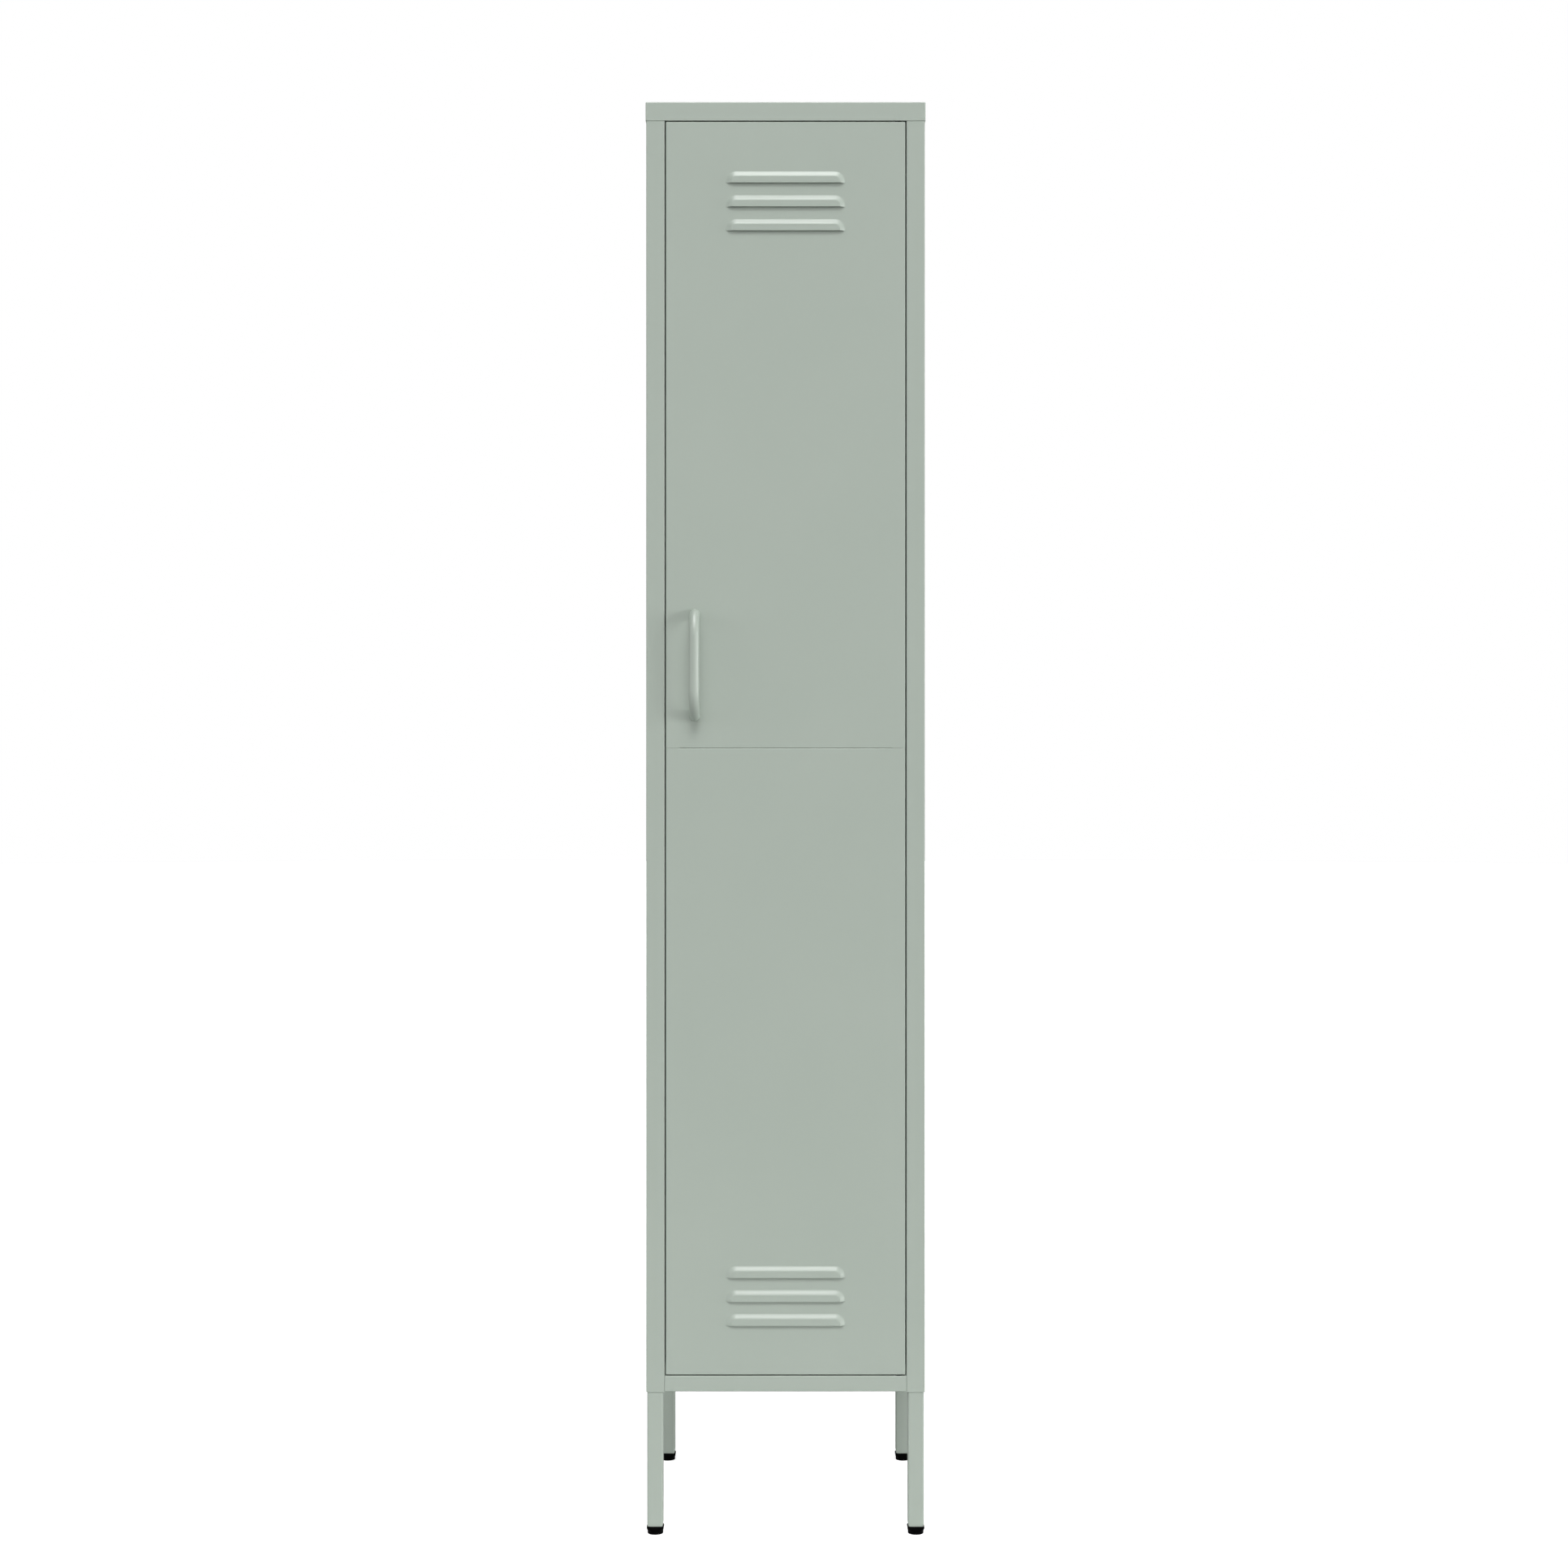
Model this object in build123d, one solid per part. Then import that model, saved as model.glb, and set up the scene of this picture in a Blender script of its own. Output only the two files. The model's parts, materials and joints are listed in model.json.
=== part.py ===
from build123d import *
import os

# A free-standing steel locker on four legs, with one full-height door hinged on its right side.
# Millimetres. X runs across the front, Y from the front to the back, Z up from the floor.
# Each sub-part is modelled with y = 0 at the front faces of the stiles, and the whole locker is
# then moved so that the origin is the middle of its footprint, the handle and lid screws included.

# ---- Driving dimensions -------------------------------------------------------------------------
HEIGHT = 1800.0
WIDTH = 350.0
DEPTH = 400.0
SHEET = 0.8
BEND = 1.3  # outer radius of a fold in the sheet

STILE_WIDTH = 23.15
POST_DEPTH = 22.2  # how far a stile folds back into the cabinet
POST_LIP = 14.0
BODY_BOTTOM = 179.8
JOINT_LINE = 0.2  # hairline gap between two sheets that lie edge to edge

LID_SKIRT = 23.3
RAIL_BOTTOM = 180.4
RAIL_TOP = 200.3
FLOOR_TOP = 211.3
FLOOR_FLANGE = 20.0

DOOR_GAP_SIDE = 1.45
DOOR_GAP_BOTTOM = 1.4
DOOR_GAP_TOP = 1.3
DOOR_DEPTH = 18.0
DOOR_LIP = 16.0
SEAM_GAP = 0.2
SEAM_PLAIN_END = 17.0  # length at each end of the seam with no flange
SEAM_FLANGE = 14.0
SEAM_BEND = 1.0

LOUVRE_WIDTH = 150.8
LOUVRE_HEIGHT = 15.3
LOUVRE_RISE = 3.8
LOUVRE_SLOPE = 6.5
LOUVRE_CORNER = 14.0
LOUVRE_PITCH = 30.0
LOUVRE_COUNT = 3
LOUVRE_MARGIN = 62.0  # from the door's top or bottom edge to the nearest louvre

HANDLE_BAR = 13.0
HANDLE_CENTRES = 128.0
HANDLE_BEND = 30.0  # radius at the bar's middle line, and how far that line stands off the door
HANDLE_X = -114.0
HANDLE_Z = 1093.0

HINGE_FROM_EDGE = 8.0
HINGE_FROM_FACE = 5.0
PIN_RADIUS = 2.5
BUSH_CLEARANCE = 0.05
BUSH_RADIUS = 3.5
BUSH_FLANGE_RADIUS = 4.3
BUSH_FLANGE = 1.1

SHELF_PITCH = 320.0
SHELF_NAMES = ["shelf_lower", "shelf_middle", "shelf_upper"]
SHELF_LIP = 20.0
SHELF_CLEARANCE = 0.7

SLOT_PITCH = 40.0
SLOT_WIDTH = 8.4
SLOT_HEIGHT = 3.0
SLOT_X = 159.0

LEG = 20.0
LEG_WALL = 1.2
LEG_CORNER = 2.0
LEG_INSET = 1.1
LEG_TOP = 300.0
FOOT_HEIGHT = 10.3

COAT_RAIL_Z = 1728.0
COAT_RAIL_RADIUS = 9.5
COAT_SOCKET_PLATE = 2.5

CATCH_X = -110.0
CATCH_Z = 1763.0
BUFFER_X = 70.0
BUFFER_RADIUS = 4.0

ANCHOR_SPACING = 200.0
ANCHOR_Z = 1740.0
ANCHOR_RADIUS = 3.5

RIVET_RADIUS = 1.6
SCREW_HEAD_PROUD = 1.6  # how far the lid screws' heads stand behind the lid's skirt

# ---- Sizes that follow from them ----------------------------------------------------------------
HALF = WIDTH / 2
OPENING = HALF - STILE_WIDTH  # half the width between the stiles
RAIL_HALF = OPENING - JOINT_LINE
INSIDE = HALF - SHEET
FRONT_SPACE = POST_DEPTH + 0.7
REAR_SPACE = DEPTH - POST_DEPTH - 0.7
STEP_FACE = POST_DEPTH - SHEET
SKIRT_BOTTOM = HEIGHT - LID_SKIRT
BODY_TOP = HEIGHT - SHEET - 0.5  # clear of the fold inside the lid's edge
DOOR_HALF = OPENING - DOOR_GAP_SIDE
DOOR_BOTTOM = RAIL_TOP + DOOR_GAP_BOTTOM
TOP_RAIL_BOTTOM = SKIRT_BOTTOM + 0.1
DOOR_TOP = TOP_RAIL_BOTTOM - DOOR_GAP_TOP
DOOR_MIDDLE = (DOOR_BOTTOM + DOOR_TOP) / 2
HINGE_X = DOOR_HALF - HINGE_FROM_EDGE
LEG_X = HALF - LEG_INSET - LEG / 2
LEG_YS = [LEG_INSET + LEG / 2, DEPTH - LEG_INSET - LEG / 2]
LEG_BOLT_Z = (RAIL_BOTTOM + RAIL_TOP) / 2
FRONT_REACH = HANDLE_BEND + HANDLE_BAR / 2
BACK_REACH = SHEET + SCREW_HEAD_PROUD
ORIGIN_Y = (DEPTH + BACK_REACH - FRONT_REACH) / 2  # the footprint's middle, from the stiles' front


# ---- Helpers ------------------------------------------------------------------------------------
def block(x0, x1, y0, y1, z0, z1):
    """A rectangular solid between two corners."""
    centre = Pos((x0 + x1) / 2, (y0 + y1) / 2, (z0 + z1) / 2)
    return centre * Box(x1 - x0, y1 - y0, z1 - z0)


def rod(start, end, radius):
    """A round solid from one point to another along a main axis."""
    start = Vector(*start)
    along = Vector(*end) - start
    return extrude(Plane(start, z_dir=along) * Circle(radius), along.length)


def folded(path, side, plane, start, end, bend=BEND):
    """Sheet folded along an outline path in a plane's own coordinates, and extruded from start to end
    along the plane's normal. The sheet lies to the left of the path if side is 1, right if side is -1.
    """
    points = [Vector(*p) for p in path]
    runs = [(b - a).normalized() for a, b in zip(points, points[1:])]
    normals = [Vector(-side * run.Y, side * run.X) for run in runs]
    inner = [points[0] + normals[0] * SHEET]
    outline_radii = []
    inner_radii = []
    for index, corner in enumerate(points[1:-1]):
        turn = runs[index].X * runs[index + 1].Y - runs[index].Y * runs[index + 1].X
        inner.append(corner + (normals[index] + normals[index + 1]) * SHEET)
        outside = turn * side > 0
        outline_radii.append(bend if outside else bend - SHEET)
        inner_radii.append(bend - SHEET if outside else bend)
    inner.append(points[-1] + normals[-1] * SHEET)
    corners = points + inner[::-1]
    radii = [0] + outline_radii + [0, 0] + inner_radii[::-1] + [0]
    outline = FilletPolyline(*corners, radius=radii, close=True)
    face = make_face(outline)
    return extrude(plane.offset(start) * face, end - start)


def pan(x0, x1, y0, y1, z0, z1, bend=BEND):
    """The rounded block that a folded pan fills, and the rounded hollow inside it."""
    outer = block(x0, x1, y0, y1, z0, z1)
    outer = fillet(outer.edges(), bend)
    hollow = block(x0 + SHEET, x1 - SHEET, y0 + SHEET, y1 - SHEET, z0 + SHEET, z1 - SHEET)
    hollow = fillet(hollow.edges(), bend - SHEET)
    return outer, hollow


def mirrored(shape):
    """The same shape on the other side of the locker."""
    return mirror(shape, about=Plane.YZ)


def both_sides(shape):
    return [shape, mirrored(shape)]


# ---- Cabinet shell ------------------------------------------------------------------------------
def side_panel():
    """Right side: post lip, stile, side wall, rear post and its lip, folded from one sheet."""
    path = [
        (OPENING + POST_LIP, POST_DEPTH),
        (OPENING, POST_DEPTH),
        (OPENING, 0),
        (HALF, 0),
        (HALF, DEPTH),
        (OPENING, DEPTH),
        (OPENING, DEPTH - POST_DEPTH),
        (OPENING + POST_LIP, DEPTH - POST_DEPTH),
    ]
    panel = folded(path, 1, Plane.XY, BODY_BOTTOM, BODY_TOP)
    slot = block(
        SLOT_X - SLOT_WIDTH / 2, SLOT_X + SLOT_WIDTH / 2, -2, 2, -SLOT_HEIGHT / 2, SLOT_HEIGHT / 2
    )
    cuts = []
    for z in shelf_slots():
        cuts.append(Pos(0, POST_DEPTH, z) * slot)
        cuts.append(Pos(0, DEPTH - POST_DEPTH, z) * slot)
    for y in LEG_YS:
        cuts.append(hole_across(OPENING, y, LEG_BOLT_Z, 3.2))
    for y, z in rivet_places():
        cuts.append(hole_across(OPENING, y, z, RIVET_RADIUS))
    return panel - cuts


def hole_across(x, y, z, radius):
    """Cutter for a hole through a sheet that stands square to X near x."""
    return rod((x - 2, y, z), (x + 2, y, z), radius)


def shelf_slots():
    """Heights of the slots in the posts' lips. Every eighth slot holds a shelf's clips."""
    first = FLOOR_TOP + SLOT_PITCH - SHEET - 8
    count = int((SKIRT_BOTTOM - 40 - first) / SLOT_PITCH) + 1
    return [first + SLOT_PITCH * index for index in range(count)]


def back_rivet_places():
    """Where the back panel is riveted to a rear post, as (y, z)."""
    low = RAIL_TOP + 60
    high = SKIRT_BOTTOM - 60
    return [(DEPTH - 10, low + (high - low) * index / 3) for index in range(4)]


def top_rail_rivet_place():
    return (10, (TOP_RAIL_BOTTOM + BODY_TOP) / 2)


def rivet_places():
    return back_rivet_places() + [top_rail_rivet_place()]


def lid():
    """Cap with a skirt on all four sides."""
    edge = HALF + SHEET
    outer, hollow = pan(-edge, edge, -SHEET, DEPTH + SHEET, SKIRT_BOTTOM - 20, HEIGHT)
    below = block(-edge - 1, edge + 1, -5, DEPTH + 5, SKIRT_BOTTOM - 25, SKIRT_BOTTOM)
    cap = outer - hollow - below
    z = lid_screw_height()
    return cap - [rod((x, DEPTH - 1, z), (x, DEPTH + 3, z), 2.0) for x in lid_screw_xs()]


def lid_screw_xs():
    return [-OPENING * 0.75, OPENING * 0.75]


def lid_screw_height():
    return SKIRT_BOTTOM + LID_SKIRT / 2


def back_panel():
    """Pan between the rear posts, with its flanges towards the front and two wall fixing holes."""
    flange = 20.0
    outer, hollow = pan(-RAIL_HALF, RAIL_HALF, DEPTH - 40, DEPTH, RAIL_BOTTOM, BODY_TOP)
    front = block(-HALF, HALF, DEPTH - 45, DEPTH - flange, RAIL_BOTTOM - 5, HEIGHT)
    panel = outer - hollow - front
    for x in (-ANCHOR_SPACING / 2, ANCHOR_SPACING / 2):
        panel = panel - rod((x, DEPTH - 2, ANCHOR_Z), (x, DEPTH + 2, ANCHOR_Z), ANCHOR_RADIUS)
    for x in lid_screw_xs():
        z = lid_screw_height()
        panel = panel - rod((x, DEPTH - 2, z), (x, DEPTH + 2, z), 1.75)
    for side in (-1, 1):
        panel = panel - hole_across(side * RAIL_HALF, LEG_YS[1], LEG_BOLT_Z, 3.2)
        for y, z in back_rivet_places():
            panel = panel - hole_across(side * RAIL_HALF, y, z, RIVET_RADIUS)
    return panel


def bottom_panel():
    """Front rail, stop step and floor, folded from one sheet, with tabs for the front leg bolts."""
    front_path = [
        (14, RAIL_BOTTOM),
        (0, RAIL_BOTTOM),
        (0, RAIL_TOP),
        (STEP_FACE, RAIL_TOP),
        (STEP_FACE, FLOOR_TOP),
        (FRONT_SPACE + 10, FLOOR_TOP),
    ]
    front = folded(front_path, -1, Plane.YZ, -RAIL_HALF, RAIL_HALF)
    wing = INSIDE - 0.3
    floor_path = [
        (-wing, FLOOR_TOP - FLOOR_FLANGE),
        (-wing, FLOOR_TOP),
        (wing, FLOOR_TOP),
        (wing, FLOOR_TOP - FLOOR_FLANGE),
    ]
    floor = folded(floor_path, -1, Plane.XZ, -REAR_SPACE, -FRONT_SPACE)
    tongue_half = RAIL_HALF - SHEET - 0.25
    tongue_end = DEPTH - SHEET - 0.2
    tongue_path = [
        (REAR_SPACE - 10, FLOOR_TOP),
        (tongue_end, FLOOR_TOP),
        (tongue_end, FLOOR_TOP - FLOOR_FLANGE),
    ]
    tongue = folded(tongue_path, -1, Plane.YZ, -tongue_half, tongue_half)
    tab = block(
        RAIL_HALF - SHEET, RAIL_HALF, SHEET / 2, 18, RAIL_BOTTOM + SHEET, RAIL_TOP - SHEET
    )
    tab = tab - hole_across(RAIL_HALF, LEG_YS[0], LEG_BOLT_Z, 3.2)
    panel = front + floor + tongue + tab + mirrored(tab)
    return panel - bush_hole(RAIL_TOP)


def bush_hole(height):
    """Cutter for a bush's hole through a level sheet near a height."""
    x = HINGE_X
    y = HINGE_FROM_FACE
    return rod((x, y, height - 2), (x, y, height + 2), BUSH_RADIUS)


def top_rail():
    """Channel behind the lid's skirt, with the stop lip that hangs down behind the door."""
    lip_bottom = TOP_RAIL_BOTTOM - 25
    path = [
        (12, BODY_TOP),
        (0, BODY_TOP),
        (0, TOP_RAIL_BOTTOM),
        (STEP_FACE, TOP_RAIL_BOTTOM),
        (STEP_FACE, lip_bottom),
        (STEP_FACE + 9, lip_bottom),
    ]
    rail = folded(path, 1, Plane.YZ, -RAIL_HALF, RAIL_HALF)
    y, z = top_rail_rivet_place()
    tab = block(
        RAIL_HALF - SHEET, RAIL_HALF, SHEET / 2, 18, TOP_RAIL_BOTTOM + SHEET, BODY_TOP - SHEET
    )
    tab = tab - hole_across(RAIL_HALF, y, z, RIVET_RADIUS)
    rail = rail + tab + mirrored(tab) - bush_hole(TOP_RAIL_BOTTOM)
    cuts = [
        block(CATCH_X - 13, CATCH_X + 13, STEP_FACE - 1, POST_DEPTH + 1, CATCH_Z - 6, CATCH_Z + 6)
    ]
    for x in catch_screw_xs():
        cuts.append(rod((x, STEP_FACE - 1, CATCH_Z), (x, POST_DEPTH + 1, CATCH_Z), 1.5))
    return rail - cuts


def catch_screw_xs():
    return [CATCH_X - 19, CATCH_X + 19]


# ---- Shelves and coat rail ----------------------------------------------------------------------
def shelf(top):
    """Tray with its flanges down, notched round the rear posts, and a hem under its front lip."""
    wing = INSIDE - SHELF_CLEARANCE
    lip_half = OPENING + 0.6
    tongue_half = RAIL_HALF - SHEET - 0.45
    tongue_end = DEPTH - SHEET - 0.8
    plate = block(-wing, wing, FRONT_SPACE, REAR_SPACE, top - SHEET, top)
    lip_path = [
        (FRONT_SPACE + 9, top - SHELF_LIP),
        (FRONT_SPACE, top - SHELF_LIP),
        (FRONT_SPACE, top),
        (FRONT_SPACE + 20, top),
    ]
    lip = folded(lip_path, -1, Plane.YZ, -lip_half, lip_half)
    front_edge = block(-lip_half, lip_half, FRONT_SPACE - 1, FRONT_SPACE + 5, top - 5, top + 5)
    plate = (plate - front_edge) + lip
    tongue_path = [
        (REAR_SPACE - 10, top),
        (tongue_end, top),
        (tongue_end, top - SHELF_LIP),
    ]
    tongue = folded(tongue_path, -1, Plane.YZ, -tongue_half, tongue_half)
    flange_path = [
        (wing - 10, top),
        (wing, top),
        (wing, top - SHELF_LIP),
    ]
    flange = folded(flange_path, -1, Plane.XZ, -(REAR_SPACE - 20), -(FRONT_SPACE + 20))
    side_edge = block(wing - 5, wing + 1, FRONT_SPACE + 20, REAR_SPACE - 20, top - 5, top + 5)
    plate = plate - side_edge - mirrored(side_edge)
    return plate + tongue + flange + mirrored(flange)


def shelf_clip(top):
    """Clip on the right front post: a plate on the lip, a hook in the slot and a tab under the shelf."""
    under = top - SHEET
    slot_z = under - 8
    left = SLOT_X - 4
    right = SLOT_X + 4
    face = POST_DEPTH
    plate = block(left, right, face, face + 2, under - 16, under)
    tab = block(left, right, face, face + 14, under - 2, under)
    hook = block(left, right, face - 3, face, slot_z - 1, slot_z + 1)
    return plate + tab + hook


def shelf_clips():
    clips = []
    centre = Plane.XZ.offset(-DEPTH / 2)
    for top in shelf_tops():
        front = shelf_clip(top)
        rear = mirror(front, about=centre)
        clips += both_sides(front) + both_sides(rear)
    return clips


def shelf_tops():
    return [FLOOR_TOP + SHELF_PITCH * (index + 1) for index in range(len(SHELF_NAMES))]


def coat_rail():
    half = INSIDE - COAT_SOCKET_PLATE - 0.3
    start = (-half, DEPTH / 2, COAT_RAIL_Z)
    end = (half, DEPTH / 2, COAT_RAIL_Z)
    return rod(start, end, COAT_RAIL_RADIUS) - rod(start, end, COAT_RAIL_RADIUS - 1.2)


def coat_rail_socket():
    """Cup welded to the right side wall."""
    wall = INSIDE
    face = wall - COAT_SOCKET_PLATE
    y = DEPTH / 2
    plate = rod((wall, y, COAT_RAIL_Z), (face, y, COAT_RAIL_Z), 17)
    collar = rod((face, y, COAT_RAIL_Z), (face - 12, y, COAT_RAIL_Z), COAT_RAIL_RADIUS + 2.6)
    bore = rod((face, y, COAT_RAIL_Z), (face - 13, y, COAT_RAIL_Z), COAT_RAIL_RADIUS + 0.1)
    return plate + (collar - bore)


# ---- Legs and feet ------------------------------------------------------------------------------
def leg(side, y):
    """Square tube that goes up inside a post, with a hole for its rivet nut."""
    outer = RectangleRounded(LEG, LEG, LEG_CORNER)
    inner_side = LEG - 2 * LEG_WALL
    inner = RectangleRounded(inner_side, inner_side, LEG_CORNER - LEG_WALL)
    tube = extrude(Pos(side * LEG_X, y, FOOT_HEIGHT) * (outer - inner), LEG_TOP - FOOT_HEIGHT)
    wall = side * (LEG_X - LEG / 2)
    hole = rod((wall - side, y, LEG_BOLT_Z), (wall + side * 3, y, LEG_BOLT_Z), 4.5)
    return tube - hole


def foot(side, y):
    """Glide: a square shoulder that runs down to a round sole, on a ribbed plug inside the tube."""
    sole = extrude(Circle(9.9), 3.5)
    sole = fillet(sole.edges().group_by(Axis.Z)[0], 1.2)
    top = Pos(0, 0, FOOT_HEIGHT) * RectangleRounded(20.8, 20.8, 2.4)
    shoulder = Pos(0, 0, 8.7) * RectangleRounded(21.6, 21.6, 3)
    neck = Pos(0, 0, 3.5) * RectangleRounded(19.8, 19.8, 9.85)
    body = loft([neck.face(), shoulder.face()]) + loft([shoulder.face(), top.face()])
    stem = Pos(0, 0, FOOT_HEIGHT) * extrude(Rectangle(13, 13), 16)
    ribs = []
    rib_side = LEG - 2 * LEG_WALL - 0.2
    for height in (2, 7, 12):
        rib = extrude(RectangleRounded(rib_side, rib_side, 0.8), 1.5)
        ribs.append(Pos(0, 0, FOOT_HEIGHT + height) * rib)
    whole = sole + body + stem + ribs
    return Pos(side * LEG_X, y, 0) * whole


def leg_bolt(side, y):
    """Button-head bolt through the tab and the post into the leg."""
    tab_face = side * (RAIL_HALF - SHEET)
    head = rod((tab_face, y, LEG_BOLT_Z), (tab_face - side * 3.2, y, LEG_BOLT_Z), 5.2)
    crown = head.faces().sort_by(Axis.X)[0 if side > 0 else -1].edges()
    head = fillet(crown, 1.6)
    socket_mouth = Plane((tab_face - side * 3.2, y, LEG_BOLT_Z), z_dir=(side, 0, 0))
    head = head - extrude(socket_mouth * RegularPolygon(2.2, 6), 1.8)
    return head + rod((tab_face, y, LEG_BOLT_Z), (tab_face + side * 16, y, LEG_BOLT_Z), 3.0)


def leg_rivet_nut(side, y):
    """Flanged threaded insert in the leg's wall. Its flange fills the gap to the post."""
    post_face = side * (OPENING + SHEET)
    leg_face = side * (LEG_X - LEG / 2)
    flange = rod((post_face, y, LEG_BOLT_Z), (leg_face, y, LEG_BOLT_Z), 6.5)
    barrel = rod((leg_face, y, LEG_BOLT_Z), (leg_face + side * 12, y, LEG_BOLT_Z), 4.5)
    bore = rod((post_face - side, y, LEG_BOLT_Z), (leg_face + side * 13, y, LEG_BOLT_Z), 3.0)
    return flange + barrel - bore


# ---- Catch, bushes, buffers and small fasteners of the cabinet ----------------------------------
def catch_case():
    """Plastic case that looks through the window in the top rail's lip, with two ears behind it."""
    nose = 19.4
    back = 34.0
    face = POST_DEPTH
    case = block(CATCH_X - 12.8, CATCH_X + 12.8, nose, back, CATCH_Z - 5.8, CATCH_Z + 5.8)
    ears = block(CATCH_X - 24, CATCH_X + 24, face, face + 2.5, CATCH_Z - 7.5, CATCH_Z + 7.5)
    pocket = block(CATCH_X - 11, CATCH_X + 11, nose - 1, back - 2, CATCH_Z - 4, CATCH_Z + 4)
    holes = [rod((x, face - 1, CATCH_Z), (x, face + 4, CATCH_Z), 1.25) for x in catch_screw_xs()]
    return case + ears - pocket - holes


def catch_magnet():
    """Magnet between two steel pole plates."""
    nose = 19.4
    magnet = block(CATCH_X - 11, CATCH_X + 11, nose + 1, 32, CATCH_Z - 2.6, CATCH_Z + 2.6)
    upper = block(CATCH_X - 11, CATCH_X + 11, nose, 32, CATCH_Z + 2.6, CATCH_Z + 4)
    lower = block(CATCH_X - 11, CATCH_X + 11, nose, 32, CATCH_Z - 4, CATCH_Z - 2.6)
    return magnet + upper + lower


def catch_screws():
    screws = []
    for x in catch_screw_xs():
        head = rod((x, STEP_FACE - 1.6, CATCH_Z), (x, STEP_FACE, CATCH_Z), 2.9)
        head = fillet(head.faces().sort_by(Axis.Y)[0].edges(), 0.8)
        upper_shank = rod((x, STEP_FACE, CATCH_Z), (x, POST_DEPTH, CATCH_Z), 1.5)
        lower_shank = rod((x, POST_DEPTH, CATCH_Z), (x, POST_DEPTH + 5, CATCH_Z), 1.25)
        screws.append(head + upper_shank + lower_shank)
    return screws


def hinge_bush(sheet_face, direction):
    """Flanged bearing. Its flange lies on the sheet's face towards the door, its barrel goes through."""
    flange_end = sheet_face - direction * BUSH_FLANGE
    barrel_end = sheet_face + direction * 5.2
    x = HINGE_X
    y = HINGE_FROM_FACE
    flange = rod((x, y, flange_end), (x, y, sheet_face), BUSH_FLANGE_RADIUS)
    barrel = rod((x, y, sheet_face), (x, y, barrel_end), BUSH_RADIUS)
    bore = rod((x, y, flange_end), (x, y, barrel_end), PIN_RADIUS + BUSH_CLEARANCE)
    return flange + barrel - bore


def door_buffers():
    """Soft stops on the top rail's lip and on the floor's step."""
    thickness = STEP_FACE - DOOR_DEPTH - 0.1
    low = (RAIL_TOP + FLOOR_TOP) / 2 + 0.6
    buffers = []
    for z in (low, CATCH_Z):
        for x in (-BUFFER_X, BUFFER_X):
            stop = rod((x, STEP_FACE - thickness, z), (x, STEP_FACE, z), BUFFER_RADIUS)
            buffers.append(fillet(stop.faces().sort_by(Axis.Y)[0].edges(), 0.8))
    return buffers


def lid_screws():
    screws = []
    z = lid_screw_height()
    for x in lid_screw_xs():
        head = rod((x, DEPTH + SHEET, z), (x, DEPTH + SHEET + SCREW_HEAD_PROUD, z), 3.6)
        head = fillet(head.faces().sort_by(Axis.Y)[-1].edges(), 0.9)
        shank = rod((x, DEPTH + SHEET, z), (x, DEPTH - 6, z), 1.75)
        screws.append(head + shank)
    return screws


def panel_rivets():
    """Blind rivets that hold the back panel and the top rail to the posts."""
    flange_face = RAIL_HALF - SHEET
    post_inside = OPENING + SHEET
    rivets = []
    for y, z in rivet_places():
        head = rod((flange_face, y, z), (flange_face - 1.1, y, z), 3.2)
        shank = rod((flange_face, y, z), (post_inside, y, z), RIVET_RADIUS)
        tail = rod((post_inside, y, z), (post_inside + 1.0, y, z), 2.4)
        rivets += both_sides(head + shank + tail)
    return rivets


# ---- Door ---------------------------------------------------------------------------------------
def louvre(top):
    """The pressed hood of one louvre and the space under it, open along its lower edge."""
    bottom = top - LOUVRE_HEIGHT
    half = LOUVRE_WIDTH / 2
    slope = Vector(-LOUVRE_RISE, -LOUVRE_SLOPE)
    across = Vector(LOUVRE_SLOPE, -LOUVRE_RISE).normalized() * SHEET
    start = Vector(0, top) + across
    into_door = start - slope * ((1 - start.X) / LOUVRE_RISE)
    at_crest = start + slope * ((start.X + LOUVRE_RISE - SHEET) / LOUVRE_RISE)
    outside = Polyline(
        (SHEET / 2, top), (0, top), (-LOUVRE_RISE, top - LOUVRE_SLOPE),
        (-LOUVRE_RISE, bottom), (SHEET / 2, bottom), close=True,
    )
    inside = Polyline(
        into_door, at_crest, (SHEET - LOUVRE_RISE, bottom), (1, bottom), close=True
    )
    hood = extrude(Plane.YZ * make_face(outside), half, both=True)
    space = extrude(Plane.YZ * make_face(inside), half, both=True)
    hood = hood & rounded_end_block(half, top, bottom, 0)
    space = space & rounded_end_block(half, top, bottom, SHEET)
    return hood, space


def rounded_end_block(half, top, bottom, inset):
    """Front outline of a louvre: a bar whose two upper corners are quarter rounds."""
    radius = LOUVRE_CORNER - inset
    x = half - inset
    z = top + 0.1 - inset * 0.1
    outline = FilletPolyline(
        (-x, bottom), (-x, z), (x, z), (x, bottom), radius=[0, radius, radius, 0], close=True
    )
    return extrude(Plane.XZ.offset(-5) * make_face(outline), 15)


def door_pan():
    """Pan of the whole door's size, with lips round its open back, before it is parted at the seam."""
    outer, hollow = pan(-DOOR_HALF, DOOR_HALF, 0, DOOR_DEPTH, DOOR_BOTTOM, DOOR_TOP)
    edge = DOOR_HALF - DOOR_LIP
    window = block(
        -edge, edge, DOOR_DEPTH - 2, DOOR_DEPTH + 1, DOOR_BOTTOM + DOOR_LIP, DOOR_TOP - DOOR_LIP
    )
    return outer - hollow - window


def seam_flange(edge, direction):
    """Flange at one panel's seam edge. direction is 1 for the panel above the seam, -1 below it."""
    half = DOOR_HALF - SEAM_PLAIN_END
    path = [(SEAM_FLANGE, edge), (0, edge), (0, edge + direction * 10)]
    flange = folded(path, -direction, Plane.YZ, -half, half, SEAM_BEND)
    corner = block(-half, half, -1, SEAM_BEND + 1, edge - 2, edge + 2)
    return flange, corner


def seam_hole_xs():
    return [-105, -35, 35, 105]


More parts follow.
